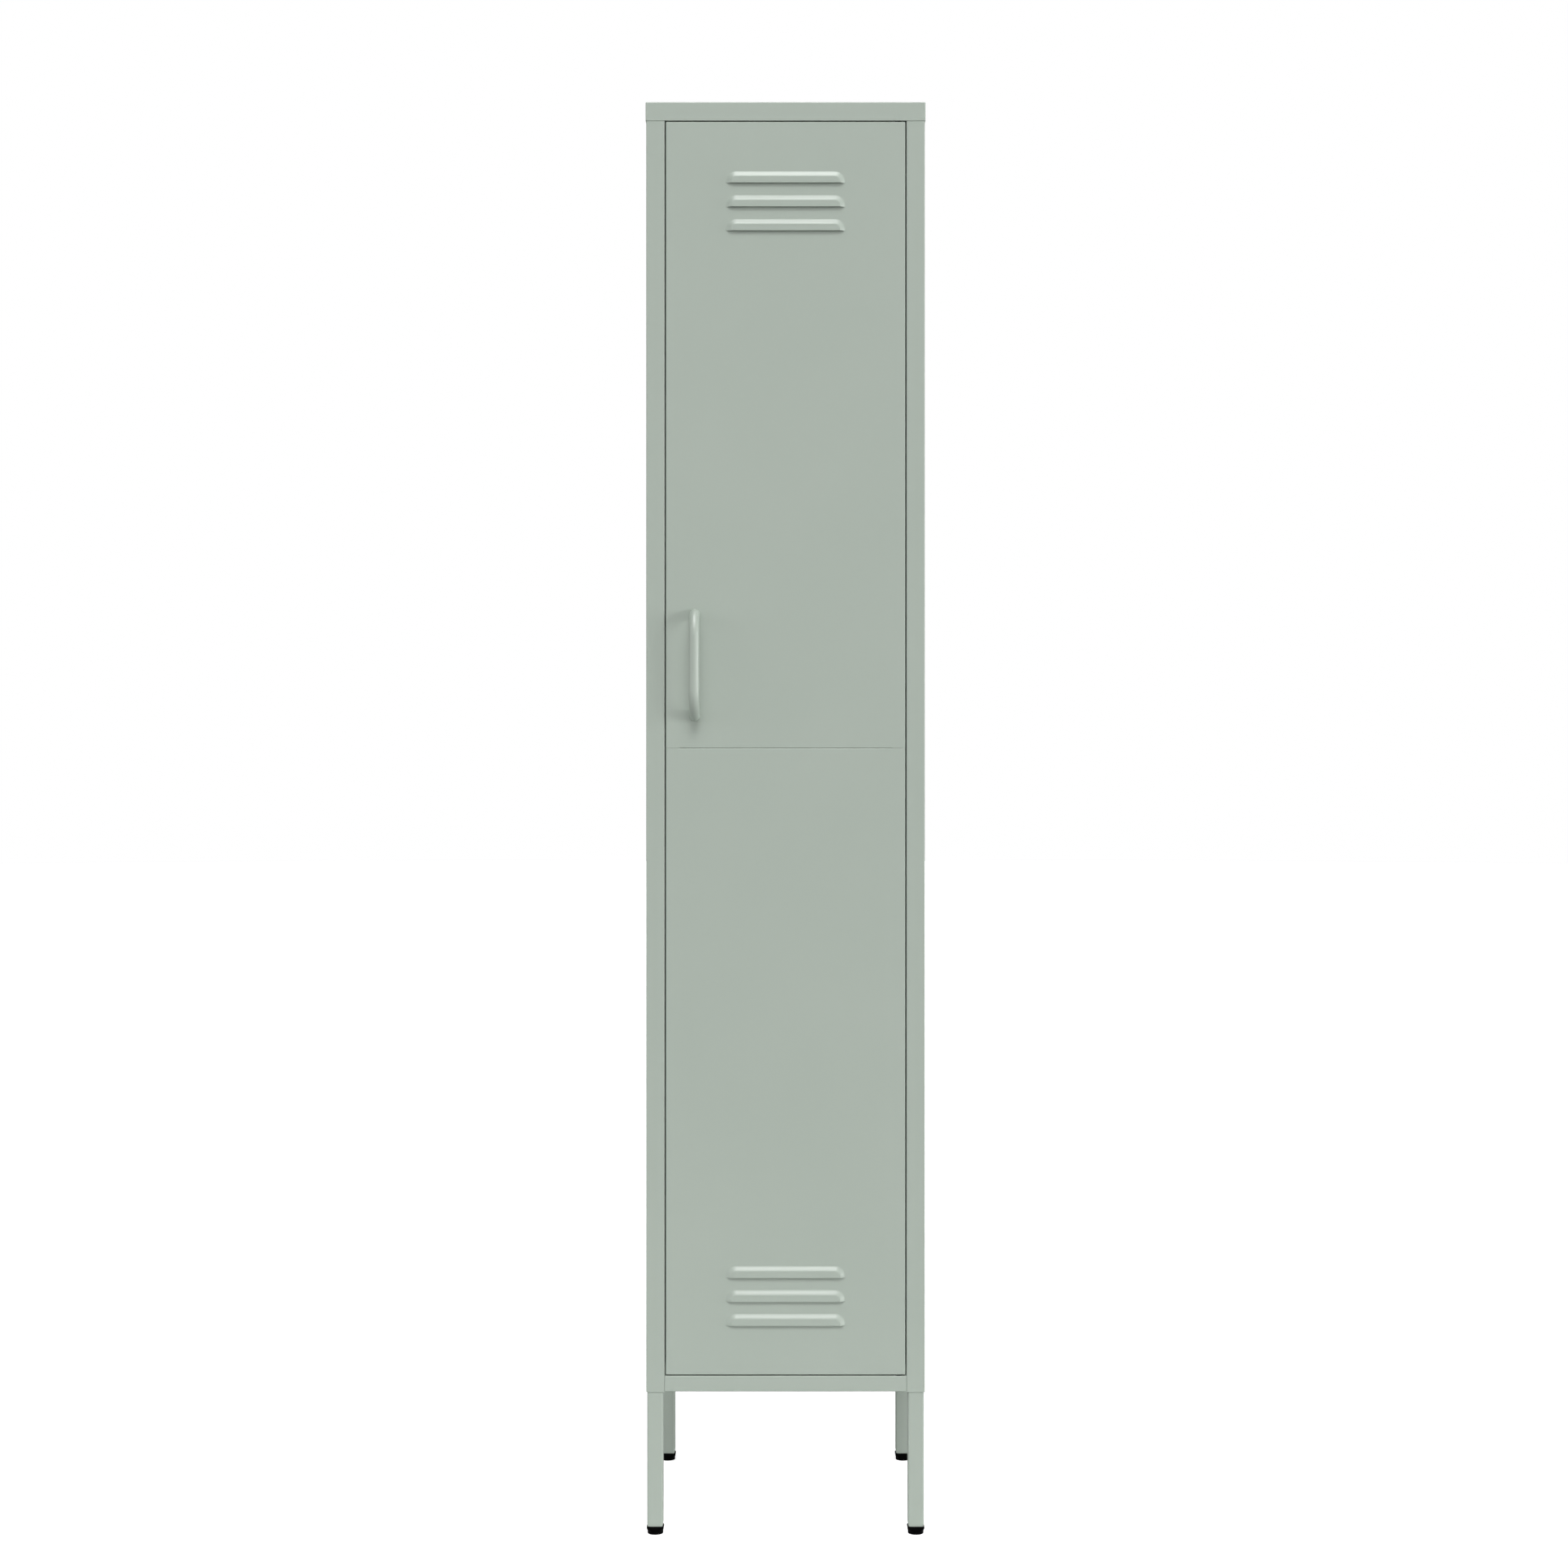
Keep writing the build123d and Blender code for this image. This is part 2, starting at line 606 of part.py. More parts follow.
def joining_rivet_spots():
    x = DOOR_HALF - DOOR_LIP / 2
    return [(x, DOOR_MIDDLE + offset) for offset in (-45, -15, 15, 45)]


def hinge_holes():
    x = HINGE_X
    y = HINGE_FROM_FACE
    return rod((x, y, DOOR_BOTTOM - 1), (x, y, DOOR_TOP + 1), PIN_RADIUS)


def lip_holes(spots, radius):
    return [rod((x, DOOR_DEPTH - 2, z), (x, DOOR_DEPTH + 1, z), radius) for x, z in spots]


def door_panel(direction):
    """Upper panel if direction is 1, lower panel if it is -1."""
    edge = DOOR_MIDDLE + direction * SEAM_GAP / 2
    far = DOOR_MIDDLE - direction * HEIGHT
    low, high = sorted((edge, far))
    other_half = block(-HALF, HALF, -5, DOOR_DEPTH + 5, low, high)
    flange, corner = seam_flange(edge, direction)
    panel = (door_pan() - other_half - corner) + flange
    for index in range(LOUVRE_COUNT):
        if direction > 0:
            top = DOOR_TOP - LOUVRE_MARGIN - LOUVRE_PITCH * index
        else:
            top = DOOR_BOTTOM + LOUVRE_MARGIN + LOUVRE_PITCH * index + LOUVRE_HEIGHT
        hood, space = louvre(top)
        panel = panel + hood - space
    holes = lip_holes([(side * x, z) for x, z in joining_rivet_spots() for side in (-1, 1)], 1.6)
    for x in seam_hole_xs():
        holes.append(rod((x, 8, edge - 2), (x, 8, edge + 2), 2.5))
    holes.append(hinge_holes())
    if direction > 0:
        for z in handle_ends():
            holes.append(rod((HANDLE_X, -1, z), (HANDLE_X, 2, z), 2.2))
        holes += lip_holes([(x, CATCH_Z) for x in strike_rivet_xs()], 1.5)
    return panel - holes


def handle_ends():
    return [HANDLE_Z - HANDLE_CENTRES / 2, HANDLE_Z + HANDLE_CENTRES / 2]


def handle():
    """Round bar bent into a D, with a tapped hole in each end."""
    low, high = handle_ends()
    out = -HANDLE_BEND
    path = FilletPolyline(
        (HANDLE_X, 0, low),
        (HANDLE_X, out, low),
        (HANDLE_X, out, high),
        (HANDLE_X, 0, high),
        radius=HANDLE_BEND - 0.01,
    )
    section = Plane((HANDLE_X, 0, low), z_dir=(0, -1, 0)) * Circle(HANDLE_BAR / 2)
    bar = sweep(section, path=path)
    for z in (low, high):
        bar = bar - rod((HANDLE_X, 0, z), (HANDLE_X, -11, z), 2.0)
    return bar


def handle_screws():
    """Pan-head screws from inside the door into the handle's ends."""
    screws = []
    for z in handle_ends():
        head = rod((HANDLE_X, SHEET, z), (HANDLE_X, SHEET + 2.8, z), 4.0)
        head = fillet(head.faces().sort_by(Axis.Y)[-1].edges(), 1.2)
        neck = rod((HANDLE_X, SHEET, z), (HANDLE_X, 0, z), 2.2)
        shank = rod((HANDLE_X, 0, z), (HANDLE_X, -9, z), 2.0)
        cross = block(HANDLE_X - 2, HANDLE_X + 2, SHEET + 1.4, SHEET + 4, z - 0.5, z + 0.5)
        cross = cross + block(HANDLE_X - 0.5, HANDLE_X + 0.5, SHEET + 1.4, SHEET + 4, z - 2, z + 2)
        screws.append(head + neck + shank - cross)
    return screws


def hinge_plate(flange_face, direction):
    """Steel plate welded inside the door's corner. direction points into the door."""
    low, high = sorted((flange_face, flange_face + direction * 2.5))
    edge = DOOR_HALF - SHEET - 0.6
    plate = block(HINGE_X - 22, edge, SHEET + 0.6, DOOR_DEPTH - 1.6, low, high)
    plate = fillet(plate.edges().filter_by(Axis.Z), 0.8)
    return plate - hinge_holes()


def hinge_pin(flange_face, direction):
    """Pin with its head on the inner side of the hinge plate. direction points into the door."""
    x = HINGE_X
    y = HINGE_FROM_FACE
    seat = flange_face + direction * 2.5
    tip = flange_face - direction * 8.5
    head = rod((x, y, seat), (x, y, seat + direction * 3), 4.0)
    shank = rod((x, y, seat), (x, y, tip), PIN_RADIUS)
    ends = shank.faces().sort_by(Axis.Z)
    end = ends[0] if direction > 0 else ends[-1]
    return head + chamfer(end.edges(), 0.8)


def strike_rivet_xs():
    return [CATCH_X - 9, CATCH_X + 9]


def strike_plate():
    face = DOOR_DEPTH
    plate = block(CATCH_X - 14, CATCH_X + 14, face, face + 1.2, CATCH_Z - 5, CATCH_Z + 5)
    plate = fillet(plate.edges().filter_by(Axis.Y), 1.5)
    return plate - [rod((x, face - 1, CATCH_Z), (x, face + 2, CATCH_Z), 1.5) for x in strike_rivet_xs()]


def strike_rivets():
    """Flush rivets: their heads are on the inner side of the door's lip."""
    inner = DOOR_DEPTH - SHEET
    rivets = []
    for x in strike_rivet_xs():
        head = rod((x, inner, CATCH_Z), (x, inner - 1.2, CATCH_Z), 2.6)
        rivets.append(head + rod((x, inner, CATCH_Z), (x, DOOR_DEPTH + 1.2, CATCH_Z), 1.5))
    return rivets


def joining_bar():
    """Flat bar across the seam, on the inner side of the door's right-hand lip."""
    inner = DOOR_DEPTH - SHEET
    bar = block(
        DOOR_HALF - DOOR_LIP + 1, DOOR_HALF - 1.6, inner - 2, inner, DOOR_MIDDLE - 60, DOOR_MIDDLE + 60
    )
    bar = fillet(bar.edges().filter_by(Axis.Y), 2)
    holes = [rod((x, inner - 3, z), (x, inner + 1, z), 1.6) for x, z in joining_rivet_spots()]
    return bar - holes


def joining_rivets():
    inner = DOOR_DEPTH - SHEET
    rivets = []
    for x, z in joining_rivet_spots():
        head = rod((x, DOOR_DEPTH, z), (x, DOOR_DEPTH + 1.0, z), 3.0)
        head = fillet(head.faces().sort_by(Axis.Y)[-1].edges(), 0.6)
        shank = rod((x, DOOR_DEPTH, z), (x, inner - 2, z), 1.6)
        tail = rod((x, inner - 2, z), (x, inner - 3, z), 2.4)
        rivets += both_sides(head + shank + tail)
    return rivets


def seam_screws():
    """Screws down through both seam flanges."""
    top = DOOR_MIDDLE + SEAM_GAP / 2 + SHEET
    screws = []
    for x in seam_hole_xs():
        head = rod((x, 8, top), (x, 8, top + 2.6), 4.2)
        head = fillet(head.faces().sort_by(Axis.Z)[-1].edges(), 1.1)
        screws.append(head + rod((x, 8, top), (x, 8, top - 9), 2.5))
    return screws


def seam_nuts():
    bottom = DOOR_MIDDLE - SEAM_GAP / 2 - SHEET
    nuts = []
    for x in seam_hole_xs():
        nut = Pos(x, 8, bottom - 4) * extrude(RegularPolygon(4.6, 6), 4)
        nuts.append(nut - rod((x, 8, bottom - 5), (x, 8, bottom + 1), 2.5))
    return nuts


# ---- Writing the sub-parts ----------------------------------------------------------------------
def save(name, shapes):
    """Writes one sub-part in the locker's own frame. A list is a group of separate solids."""
    if not isinstance(shapes, list):
        shapes = [shapes]
    moved = [Pos(0, -ORIGIN_Y, 0) * shape for shape in shapes]
    export_step(moved[0] if len(moved) == 1 else Compound(children=moved), f"parts/{name}.step")


def main():
    os.makedirs("parts", exist_ok=True)
    right_side = side_panel()
    save("right_side_panel", right_side)
    save("left_side_panel", mirrored(right_side))
    save("lid", lid())
    save("back_panel", back_panel())
    save("bottom_panel", bottom_panel())
    save("top_rail", top_rail())
    for name, top in zip(SHELF_NAMES, shelf_tops()):
        save(name, shelf(top))
    save("shelf_clips", shelf_clips())
    save("coat_rail", coat_rail())
    save("coat_rail_socket_right", coat_rail_socket())
    save("coat_rail_socket_left", mirrored(coat_rail_socket()))

    bolts = []
    nuts = []
    for side, side_name in ((-1, "left"), (1, "right")):
        for y, end_name in zip(LEG_YS, ("front", "rear")):
            save(f"leg_{end_name}_{side_name}", leg(side, y))
            save(f"foot_{end_name}_{side_name}", foot(side, y))
            bolts.append(leg_bolt(side, y))
            nuts.append(leg_rivet_nut(side, y))
    save("leg_bolts", bolts)
    save("leg_rivet_nuts", nuts)

    save("hinge_bush_bottom", hinge_bush(RAIL_TOP, -1))
    save("hinge_bush_top", hinge_bush(TOP_RAIL_BOTTOM, 1))
    save("catch_case", catch_case())
    save("catch_magnet", catch_magnet())
    save("catch_screws", catch_screws())
    save("door_buffers", door_buffers())
    save("lid_screws", lid_screws())
    save("panel_rivets", panel_rivets())

    save("door_upper_panel", door_panel(1))
    save("door_lower_panel", door_panel(-1))
    save("handle", handle())
    save("handle_screws", handle_screws())
    for end, face, direction in (
        ("bottom", DOOR_BOTTOM + SHEET, 1),
        ("top", DOOR_TOP - SHEET, -1),
    ):
        save(f"hinge_plate_{end}", hinge_plate(face, direction))
        save(f"hinge_pin_{end}", hinge_pin(face, direction))
    save("strike_plate", strike_plate())
    save("strike_rivets", strike_rivets())
    save("joining_bar_right", joining_bar())
    save("joining_bar_left", mirrored(joining_bar()))
    save("joining_rivets", joining_rivets())
    save("seam_screws", seam_screws())
    save("seam_nuts", seam_nuts())


main()
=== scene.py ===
import itertools
import json
import math

import bmesh
import bpy
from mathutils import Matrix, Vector

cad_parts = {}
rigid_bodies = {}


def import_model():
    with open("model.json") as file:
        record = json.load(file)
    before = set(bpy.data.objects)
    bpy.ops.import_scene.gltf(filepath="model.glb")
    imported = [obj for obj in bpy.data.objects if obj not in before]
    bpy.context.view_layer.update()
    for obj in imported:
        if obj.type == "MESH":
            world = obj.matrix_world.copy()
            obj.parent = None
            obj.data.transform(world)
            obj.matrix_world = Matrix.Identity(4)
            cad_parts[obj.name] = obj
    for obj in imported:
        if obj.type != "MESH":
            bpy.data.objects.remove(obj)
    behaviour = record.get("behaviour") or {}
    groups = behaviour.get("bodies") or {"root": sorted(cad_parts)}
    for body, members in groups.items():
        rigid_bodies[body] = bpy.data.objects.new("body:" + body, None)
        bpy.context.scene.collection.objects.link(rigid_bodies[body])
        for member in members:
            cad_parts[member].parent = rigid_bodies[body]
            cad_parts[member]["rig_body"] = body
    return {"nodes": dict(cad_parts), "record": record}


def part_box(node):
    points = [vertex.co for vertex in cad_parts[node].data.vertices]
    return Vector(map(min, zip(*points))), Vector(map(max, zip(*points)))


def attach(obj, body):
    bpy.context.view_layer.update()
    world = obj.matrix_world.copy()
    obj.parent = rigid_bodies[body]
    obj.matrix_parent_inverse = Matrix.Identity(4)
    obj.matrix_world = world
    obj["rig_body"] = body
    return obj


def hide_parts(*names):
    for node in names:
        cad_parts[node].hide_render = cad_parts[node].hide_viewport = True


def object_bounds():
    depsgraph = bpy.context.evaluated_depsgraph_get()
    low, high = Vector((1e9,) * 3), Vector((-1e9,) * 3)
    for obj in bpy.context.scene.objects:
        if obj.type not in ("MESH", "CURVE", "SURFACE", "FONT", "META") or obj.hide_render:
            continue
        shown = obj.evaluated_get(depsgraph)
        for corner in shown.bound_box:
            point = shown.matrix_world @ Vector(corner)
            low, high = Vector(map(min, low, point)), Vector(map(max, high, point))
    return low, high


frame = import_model()
cad_low, cad_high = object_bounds()

# A powder-coated steel locker. The folded sheets, the legs, the feet, the coat rail's tube and the
# handle are rebuilt here as fine meshes with their bends. The small fasteners and fittings keep their
# CAD meshes and get materials.
# Metres. X runs across the front, Y from the front to the back, Z up from the floor.

# ---- Sizes of the sheet work --------------------------------------------------------------------
MM = 0.001
TINY = 0.01 * MM
SHEET = 0.8 * MM
BEND = 1.3 * MM  # outer radius of a fold
BEND_STEPS = 6
CORNER_STEPS = 6
EDGE_ROUND = 0.12 * MM  # how far the coating rounds a cut edge
EDGE_ANGLE = math.radians(40)  # folds flatter than this stay as they are

POST_DEPTH = 22.2 * MM
POST_LIP = 14.0 * MM
STEP_FACE = POST_DEPTH - SHEET
POST_CLEAR = POST_DEPTH + 0.7 * MM
TONGUE_GAP = 0.25 * MM
SHELF_TONGUE_GAP = 0.2 * MM  # a shelf's tongue is this much narrower still
RAIL_GAP = 0.04 * MM  # hairline between a rail's face and the stile's fold

SLOT_X = 159.0 * MM
SLOT_WIDTH = 8.4 * MM
SLOT_HEIGHT = 3.0 * MM
SLOT_PITCH = 40.0 * MM
SLOT_UNDER_SHELF = SHEET + 8.0 * MM
SLOT_TOP_MARGIN = 40.0 * MM

RAIL_FACE_HEIGHT = 19.9 * MM
RAIL_FLANGE = 14.0 * MM
TOP_RAIL_FLANGE = 12.0 * MM
SKIRT_LAP = 0.1 * MM  # the top rail's face ends this far above the skirt's lower edge
CATCH_CLEAR = 2.0 * MM
STOP_HEM = 9.0 * MM
TAB_DEPTH = 18.0 * MM
FLANGE = 20.0 * MM
SHELF_HEM = 9.0 * MM
SHELF_LIP_OVERLAP = 0.6 * MM

WALL_HOLE_X = 100.0 * MM
WALL_HOLE_Z = 1740.0 * MM
WALL_HOLE_RADIUS = 3.5 * MM
HOLE_SIDES = 24
HOLE_CELL = 1.6  # half of the square cell round a hole, in radii
HOLE_INSET = 0.8  # half of the square that becomes the hole, in radii

DOOR_DEPTH = 18.0 * MM
DOOR_LIP = 16.0 * MM
SEAM_PLAIN_END = 17.0 * MM
SEAM_FLANGE = 14.0 * MM
SEAM_BEND = 1.0 * MM

LOUVRE_WIDTH = 150.8 * MM
LOUVRE_HEIGHT = 15.3 * MM
LOUVRE_SLOPE = 7.5 * MM
LOUVRE_CORNER = 14.0 * MM
LOUVRE_PITCH = 30.0 * MM
LOUVRE_COUNT = 3
LOUVRE_MARGIN = 62.0 * MM
LOUVRE_CELL = 0.7 * MM
LOUVRE_OVERLAP = 0.8 * MM  # how far the sheet below a louvre reaches up behind its lip

HANDLE_STEPS = 24
HANDLE_SIDES = 40

LEG_WALL = 1.2 * MM
LEG_CORNER = 2.0 * MM
LEG_TAPER = 0.8 * MM
LEG_TAPER_HEIGHT = 4.0 * MM

SOLE_INSET = 0.9 * MM
TREAD_ROUND = 1.2 * MM
TREAD_STEPS = 5
# A foot's square part: height above the floor, distance in from its widest, and corner radius.
SHOULDER = (
    (6.0 * MM, 0.45 * MM, 6.0 * MM),
    (8.7 * MM, 0.0, 3.0 * MM),
    (9.7 * MM, 0.35 * MM, 2.6 * MM),
    (10.3 * MM, 1.4 * MM, 1.8 * MM),
)
SOLE_TOP = 3.5 * MM
PLUG_BOTTOM = 10.3 * MM
PLUG_HALF = 6.5 * MM
PLUG_CORNER = 0.5 * MM
FOOT_ROUND = 0.3 * MM

TUBE_SIDES = 64

# ---- Places read from the frame -----------------------------------------------------------------
side_low, side_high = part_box("right_side_panel")
OPENING = side_low.x
HALF = side_high.x
FRONT = side_low.y
BACK = side_high.y
rail_low, rail_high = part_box("bottom_panel")
FLOOR_TOP = rail_high.z
top_rail_low, top_rail_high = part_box("top_rail")
RAIL_HALF = top_rail_high.x
lid_low, lid_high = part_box("lid")

GREEN = "green_powder_coat"


# ---- Mesh helpers -------------------------------------------------------------------------------
def rounded_path(points, side):
    """Outline of one face of a folded sheet, with its corners rounded. The sheet lies to the left of the
    path if side is 1 and to the right if it is -1. A point in line with its neighbours stays as it is.
    """
    points = [Vector(point) for point in points]
    path = [points[0]]
    for before, corner, after in zip(points, points[1:], points[2:]):
        run_in = (corner - before).normalized()
        run_out = (after - corner).normalized()
        turn = run_in.cross(run_out)
        if abs(turn) < 0.1:
            path.append(corner)
            continue
        radius = BEND if turn * side > 0 else BEND - SHEET
        for step in range(BEND_STEPS + 1):
            angle = math.pi / 2 * step / BEND_STEPS
            back = run_in * radius * (1 - math.sin(angle))
            path.append(corner - back + run_out * radius * (1 - math.cos(angle)))
    path.append(points[-1])
    return path


def grid_sheet(columns, rows, place, present=None):
    """Open mesh over columns by rows. place gives a corner's position, and present says, from the middle
    of a cell, whether the sheet has that cell."""
    bm = bmesh.new()
    corners = {}

    def corner(i, j):
        if (i, j) not in corners:
            corners[i, j] = bm.verts.new(place(columns[i], rows[j]))
        return corners[i, j]

    for i, j in itertools.product(range(len(columns) - 1), range(len(rows) - 1)):
        column = (columns[i] + columns[i + 1]) / 2
        row = (rows[j] + rows[j + 1]) / 2
        if present is None or present(column, row):
            bm.faces.new((corner(i, j), corner(i + 1, j), corner(i + 1, j + 1), corner(i, j + 1)))
    return bm


def cross_sheet(across, along, level, present):
    """Plate at a level with flanges on its four sides and notched corners. across holds (x, z) points and
    along holds (y, z) points."""
    return grid_sheet(across, along, lambda u, v: (u.x, v.x, u.y + v.y - level), present)


def cut(bm, axis, place, clear=None):
    """Adds edges where the plane at a place on an axis crosses the mesh. clear is "above" or "below" to
    delete the mesh on that side."""
    normal = Vector((0, 0, 0))
    normal[axis] = 1
    bmesh.ops.bisect_plane(
        bm,
        geom=bm.verts[:] + bm.edges[:] + bm.faces[:],
        dist=TINY,
        plane_co=normal * place,
        plane_no=normal,
        clear_outer=clear == "above",
        clear_inner=clear == "below",
    )


def rounded_box(low, high, radius):
    """Closed box with all its edges rounded."""
    bm = bmesh.new()
    bmesh.ops.create_cube(bm, size=1)
    middle = (Vector(low) + Vector(high)) / 2
    size = Vector(high) - Vector(low)
    for vert in bm.verts:
        vert.co = middle + vert.co * size
    bmesh.ops.bevel(
        bm,
        geom=bm.edges[:],
        offset=radius,
        offset_type="OFFSET",
        segments=BEND_STEPS,
        profile=0.5,
        affect="EDGES",
    )
    return bm


def faces_where(bm, test):
    return [face for face in bm.faces if test(face.calc_center_median())]


def remove_faces(bm, test):
    bmesh.ops.delete(bm, geom=faces_where(bm, test), context="FACES")


def round_hole(bm, axis, centre, radius):
    """Opens a round hole in the flat face that lies square to an axis around a centre."""
    others = [index for index in range(3) if index != axis]
    margin = radius * HOLE_CELL
    for index in others:
        cut(bm, index, centre[index] - margin)
        cut(bm, index, centre[index] + margin)
    cell = faces_where(bm, lambda c: (c - Vector(centre)).length < radius / 2)
    bmesh.ops.inset_individual(bm, faces=cell, thickness=margin - radius * HOLE_INSET)
    cuts = HOLE_SIDES // 4 - 1
    bmesh.ops.subdivide_edges(bm, edges=cell[0].edges[:], cuts=cuts, use_single_edge=True)
    inner = faces_where(bm, lambda c: (c - Vector(centre)).length < radius / 2)[0]
    for vert in inner.verts:
        offset = vert.co - Vector(centre)
        vert.co = Vector(centre) + offset.normalized() * radius
    bmesh.ops.delete(bm, geom=[inner], context="FACES")


def mirror_across(bm):
    """The same mesh on the other side of the locker."""
    bmesh.ops.scale(bm, vec=(-1, 1, 1), verts=bm.verts)
    bmesh.ops.reverse_faces(bm, faces=bm.faces)
    return bm


def loft(rings, capped):
    """Skin through rings of points. capped closes both ends."""
    bm = bmesh.new()
    rows = [[bm.verts.new(point) for point in ring] for ring in rings]
    count = len(rows[0])
    for lower, upper in zip(rows, rows[1:]):
        for index in range(count):
            following = (index + 1) % count
            bm.faces.new((lower[index], lower[following], upper[following], upper[index]))
    if capped:
        bm.faces.new(rows[0][::-1])
        bm.faces.new(rows[-1])
    return bm


def rounded_square(x, y, z, half, radius):
    """Ring of points round a square with rounded corners, anticlockwise from above."""
    ring = []
    for quarter in range(4):
        for step in range(CORNER_STEPS + 1):
            angle = math.pi / 2 * (quarter + step / CORNER_STEPS)
            corner = math.pi / 2 * quarter + math.pi / 4
            middle_x = math.copysign(half - radius, math.cos(corner))
            middle_y = math.copysign(half - radius, math.sin(corner))
            across = middle_x + radius * math.cos(angle)
            ahead = middle_y + radius * math.sin(angle)
            ring.append(Vector((x + across, y + ahead, z)))
    return ring


# ---- Turning meshes into pieces -----------------------------------------------------------------
def piece(name, bm, node, material, thickness=None, edge_round=EDGE_ROUND):
    """Object made from a mesh that stands for a CAD node and rides on that node's body."""
    mesh = bpy.data.meshes.new(name)
    bm.to_mesh(mesh)
    bm.free()
    for polygon in mesh.polygons:
        polygon.use_smooth = True
    mesh.materials.append(material)
    made = bpy.data.objects.new(name, mesh)
    bpy.context.scene.collection.objects.link(made)
    if thickness:
        solid = made.modifiers.new("Thickness", "SOLIDIFY")
        solid.thickness = thickness
        solid.offset = -1
        solid.use_even_offset = True
        solid.use_quality_normals = True
    if edge_round:
        rounding = made.modifiers.new("Edges", "BEVEL")
        rounding.width = edge_round
        rounding.segments = 2
        rounding.limit_method = "ANGLE"
        rounding.angle_limit = EDGE_ANGLE
    shading = made.modifiers.new("Shading", "WEIGHTED_NORMAL")
    shading.weight = 100
    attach(made, frame["nodes"][node]["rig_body"])
    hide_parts(node)
    return made


def sheet_piece(name, bm, node):
    return piece(name, bm, node, powder_coat, thickness=SHEET)


# ---- Materials ----------------------------------------------------------------------------------
class Shader:
    """A Principled material and short ways to add nodes to it."""

    def __init__(self, name):
        self.material = bpy.data.materials.new(name)
        self.material.use_nodes = True
        self.nodes = self.material.node_tree.nodes
        self.links = self.material.node_tree.links
        self.surface = self.nodes["Principled BSDF"]
        self.place = self.nodes.new("ShaderNodeTexCoord").outputs["Object"]

    def set(self, **values):
        for name, value in values.items():
            self.surface.inputs[name.replace("_", " ")].default_value = value

    def stretched(self, x, y, z):
        mapping = self.nodes.new("ShaderNodeMapping")
        mapping.inputs["Scale"].default_value = (x, y, z)
        self.links.new(self.place, mapping.inputs["Vector"])
        return mapping.outputs["Vector"]

    def noise(self, scale, detail=2.0, place=None):
        texture = self.nodes.new("ShaderNodeTexNoise")
        texture.inputs["Scale"].default_value = scale
        texture.inputs["Detail"].default_value = detail
        self.links.new(place or self.place, texture.inputs["Vector"])
        return texture.outputs["Fac"]

    def cells(self, scale):
        texture = self.nodes.new("ShaderNodeTexVoronoi")
        texture.inputs["Scale"].default_value = scale
        self.links.new(self.place, texture.inputs["Vector"])
        return texture

    def between(self, value, low, high, start=0.3, end=0.7):
        """A value mapped from start..end to low..high."""
        ranged = self.nodes.new("ShaderNodeMapRange")
        ranged.inputs["From Min"].default_value = start
        ranged.inputs["From Max"].default_value = end
        ranged.inputs["To Min"].default_value = low
        ranged.inputs["To Max"].default_value = high
        self.links.new(value, ranged.inputs["Value"])
        return ranged.outputs["Result"]

    def blend(self, factor, first, second):
        """A colour between two, by a factor from 0 to 1."""
        mix = self.nodes.new("ShaderNodeMix")
        mix.data_type = "RGBA"
        mix.inputs["A"].default_value = (*first, 1)
        mix.inputs["B"].default_value = (*second, 1)
        self.links.new(factor, mix.inputs["Factor"])
        return mix.outputs["Result"]

    def colour(self, output):
        self.links.new(output, self.surface.inputs["Base Color"])

    def roughness(self, output):
        self.links.new(output, self.surface.inputs["Roughness"])

    def relief(self, *layers):
        """Bumps from (height output, depth in metres) pairs, coarsest first."""
        normal = None
        for height, depth in layers:
            bump = self.nodes.new("ShaderNodeBump")
            bump.inputs["Distance"].default_value = depth
            self.links.new(height, bump.inputs["Height"])
            if normal:
                self.links.new(normal, bump.inputs["Normal"])
            normal = bump.outputs["Normal"]
        self.links.new(normal, self.surface.inputs["Normal"])


def make_powder_coat():
    """Sage green powder coat: satin, with fine orange peel and a faint drift in tone."""
    shader = Shader("green powder coat")
    drift = shader.between(shader.noise(5, 3), 0, 1)
    fleck = shader.noise(1400, 2)
    peel = shader.noise(620, 2)
    shader.colour(shader.blend(drift, (0.400, 0.458, 0.405), (0.412, 0.468, 0.415)))
    shader.roughness(shader.between(peel, 0.37, 0.43))
    shader.relief((peel, 0.022 * MM), (fleck, 0.006 * MM))
    shader.set(IOR=1.5)
    return shader.material


def make_zinc():
    """Bright zinc plating with a faint spangle."""
    shader = Shader("zinc plating")
    spangle = shader.cells(900).outputs["Distance"]
    cloud = shader.noise(260, 3)
    shader.colour(shader.blend(shader.between(cloud, 0, 1), (0.56, 0.57, 0.58), (0.68, 0.68, 0.66)))
    shader.roughness(shader.between(spangle, 0.24, 0.38, 0.0, 0.7))
    shader.relief((shader.noise(2200, 2), 0.006 * MM))
    shader.set(Metallic=1.0)
    return shader.material


def make_chrome():
    """Chromed tube with faint polishing lines along it."""
    shader = Shader("chrome")
    lines = shader.noise(900, 2, shader.stretched(0.04, 1, 1))
    cloud = shader.noise(30, 2)
    shader.colour(shader.blend(shader.between(cloud, 0, 1), (0.70, 0.71, 0.72), (0.78, 0.78, 0.79)))
    shader.roughness(shader.between(lines, 0.06, 0.14))
    shader.relief((lines, 0.002 * MM))
    shader.set(Metallic=1.0)
    return shader.material


def make_plastic(name, dark, light, low_gloss, high_gloss, grain, shine=0.5):
    """Moulded plastic with a fine spark-eroded grain."""
    shader = Shader(name)
    shader.set(Specular_IOR_Level=shine)
    texture = shader.noise(1700, 3)
    cloud = shader.noise(90, 2)
    shader.colour(shader.blend(shader.between(cloud, 0, 1), dark, light))
    shader.roughness(shader.between(texture, low_gloss, high_gloss))
    shader.relief((texture, grain))
    return shader.material


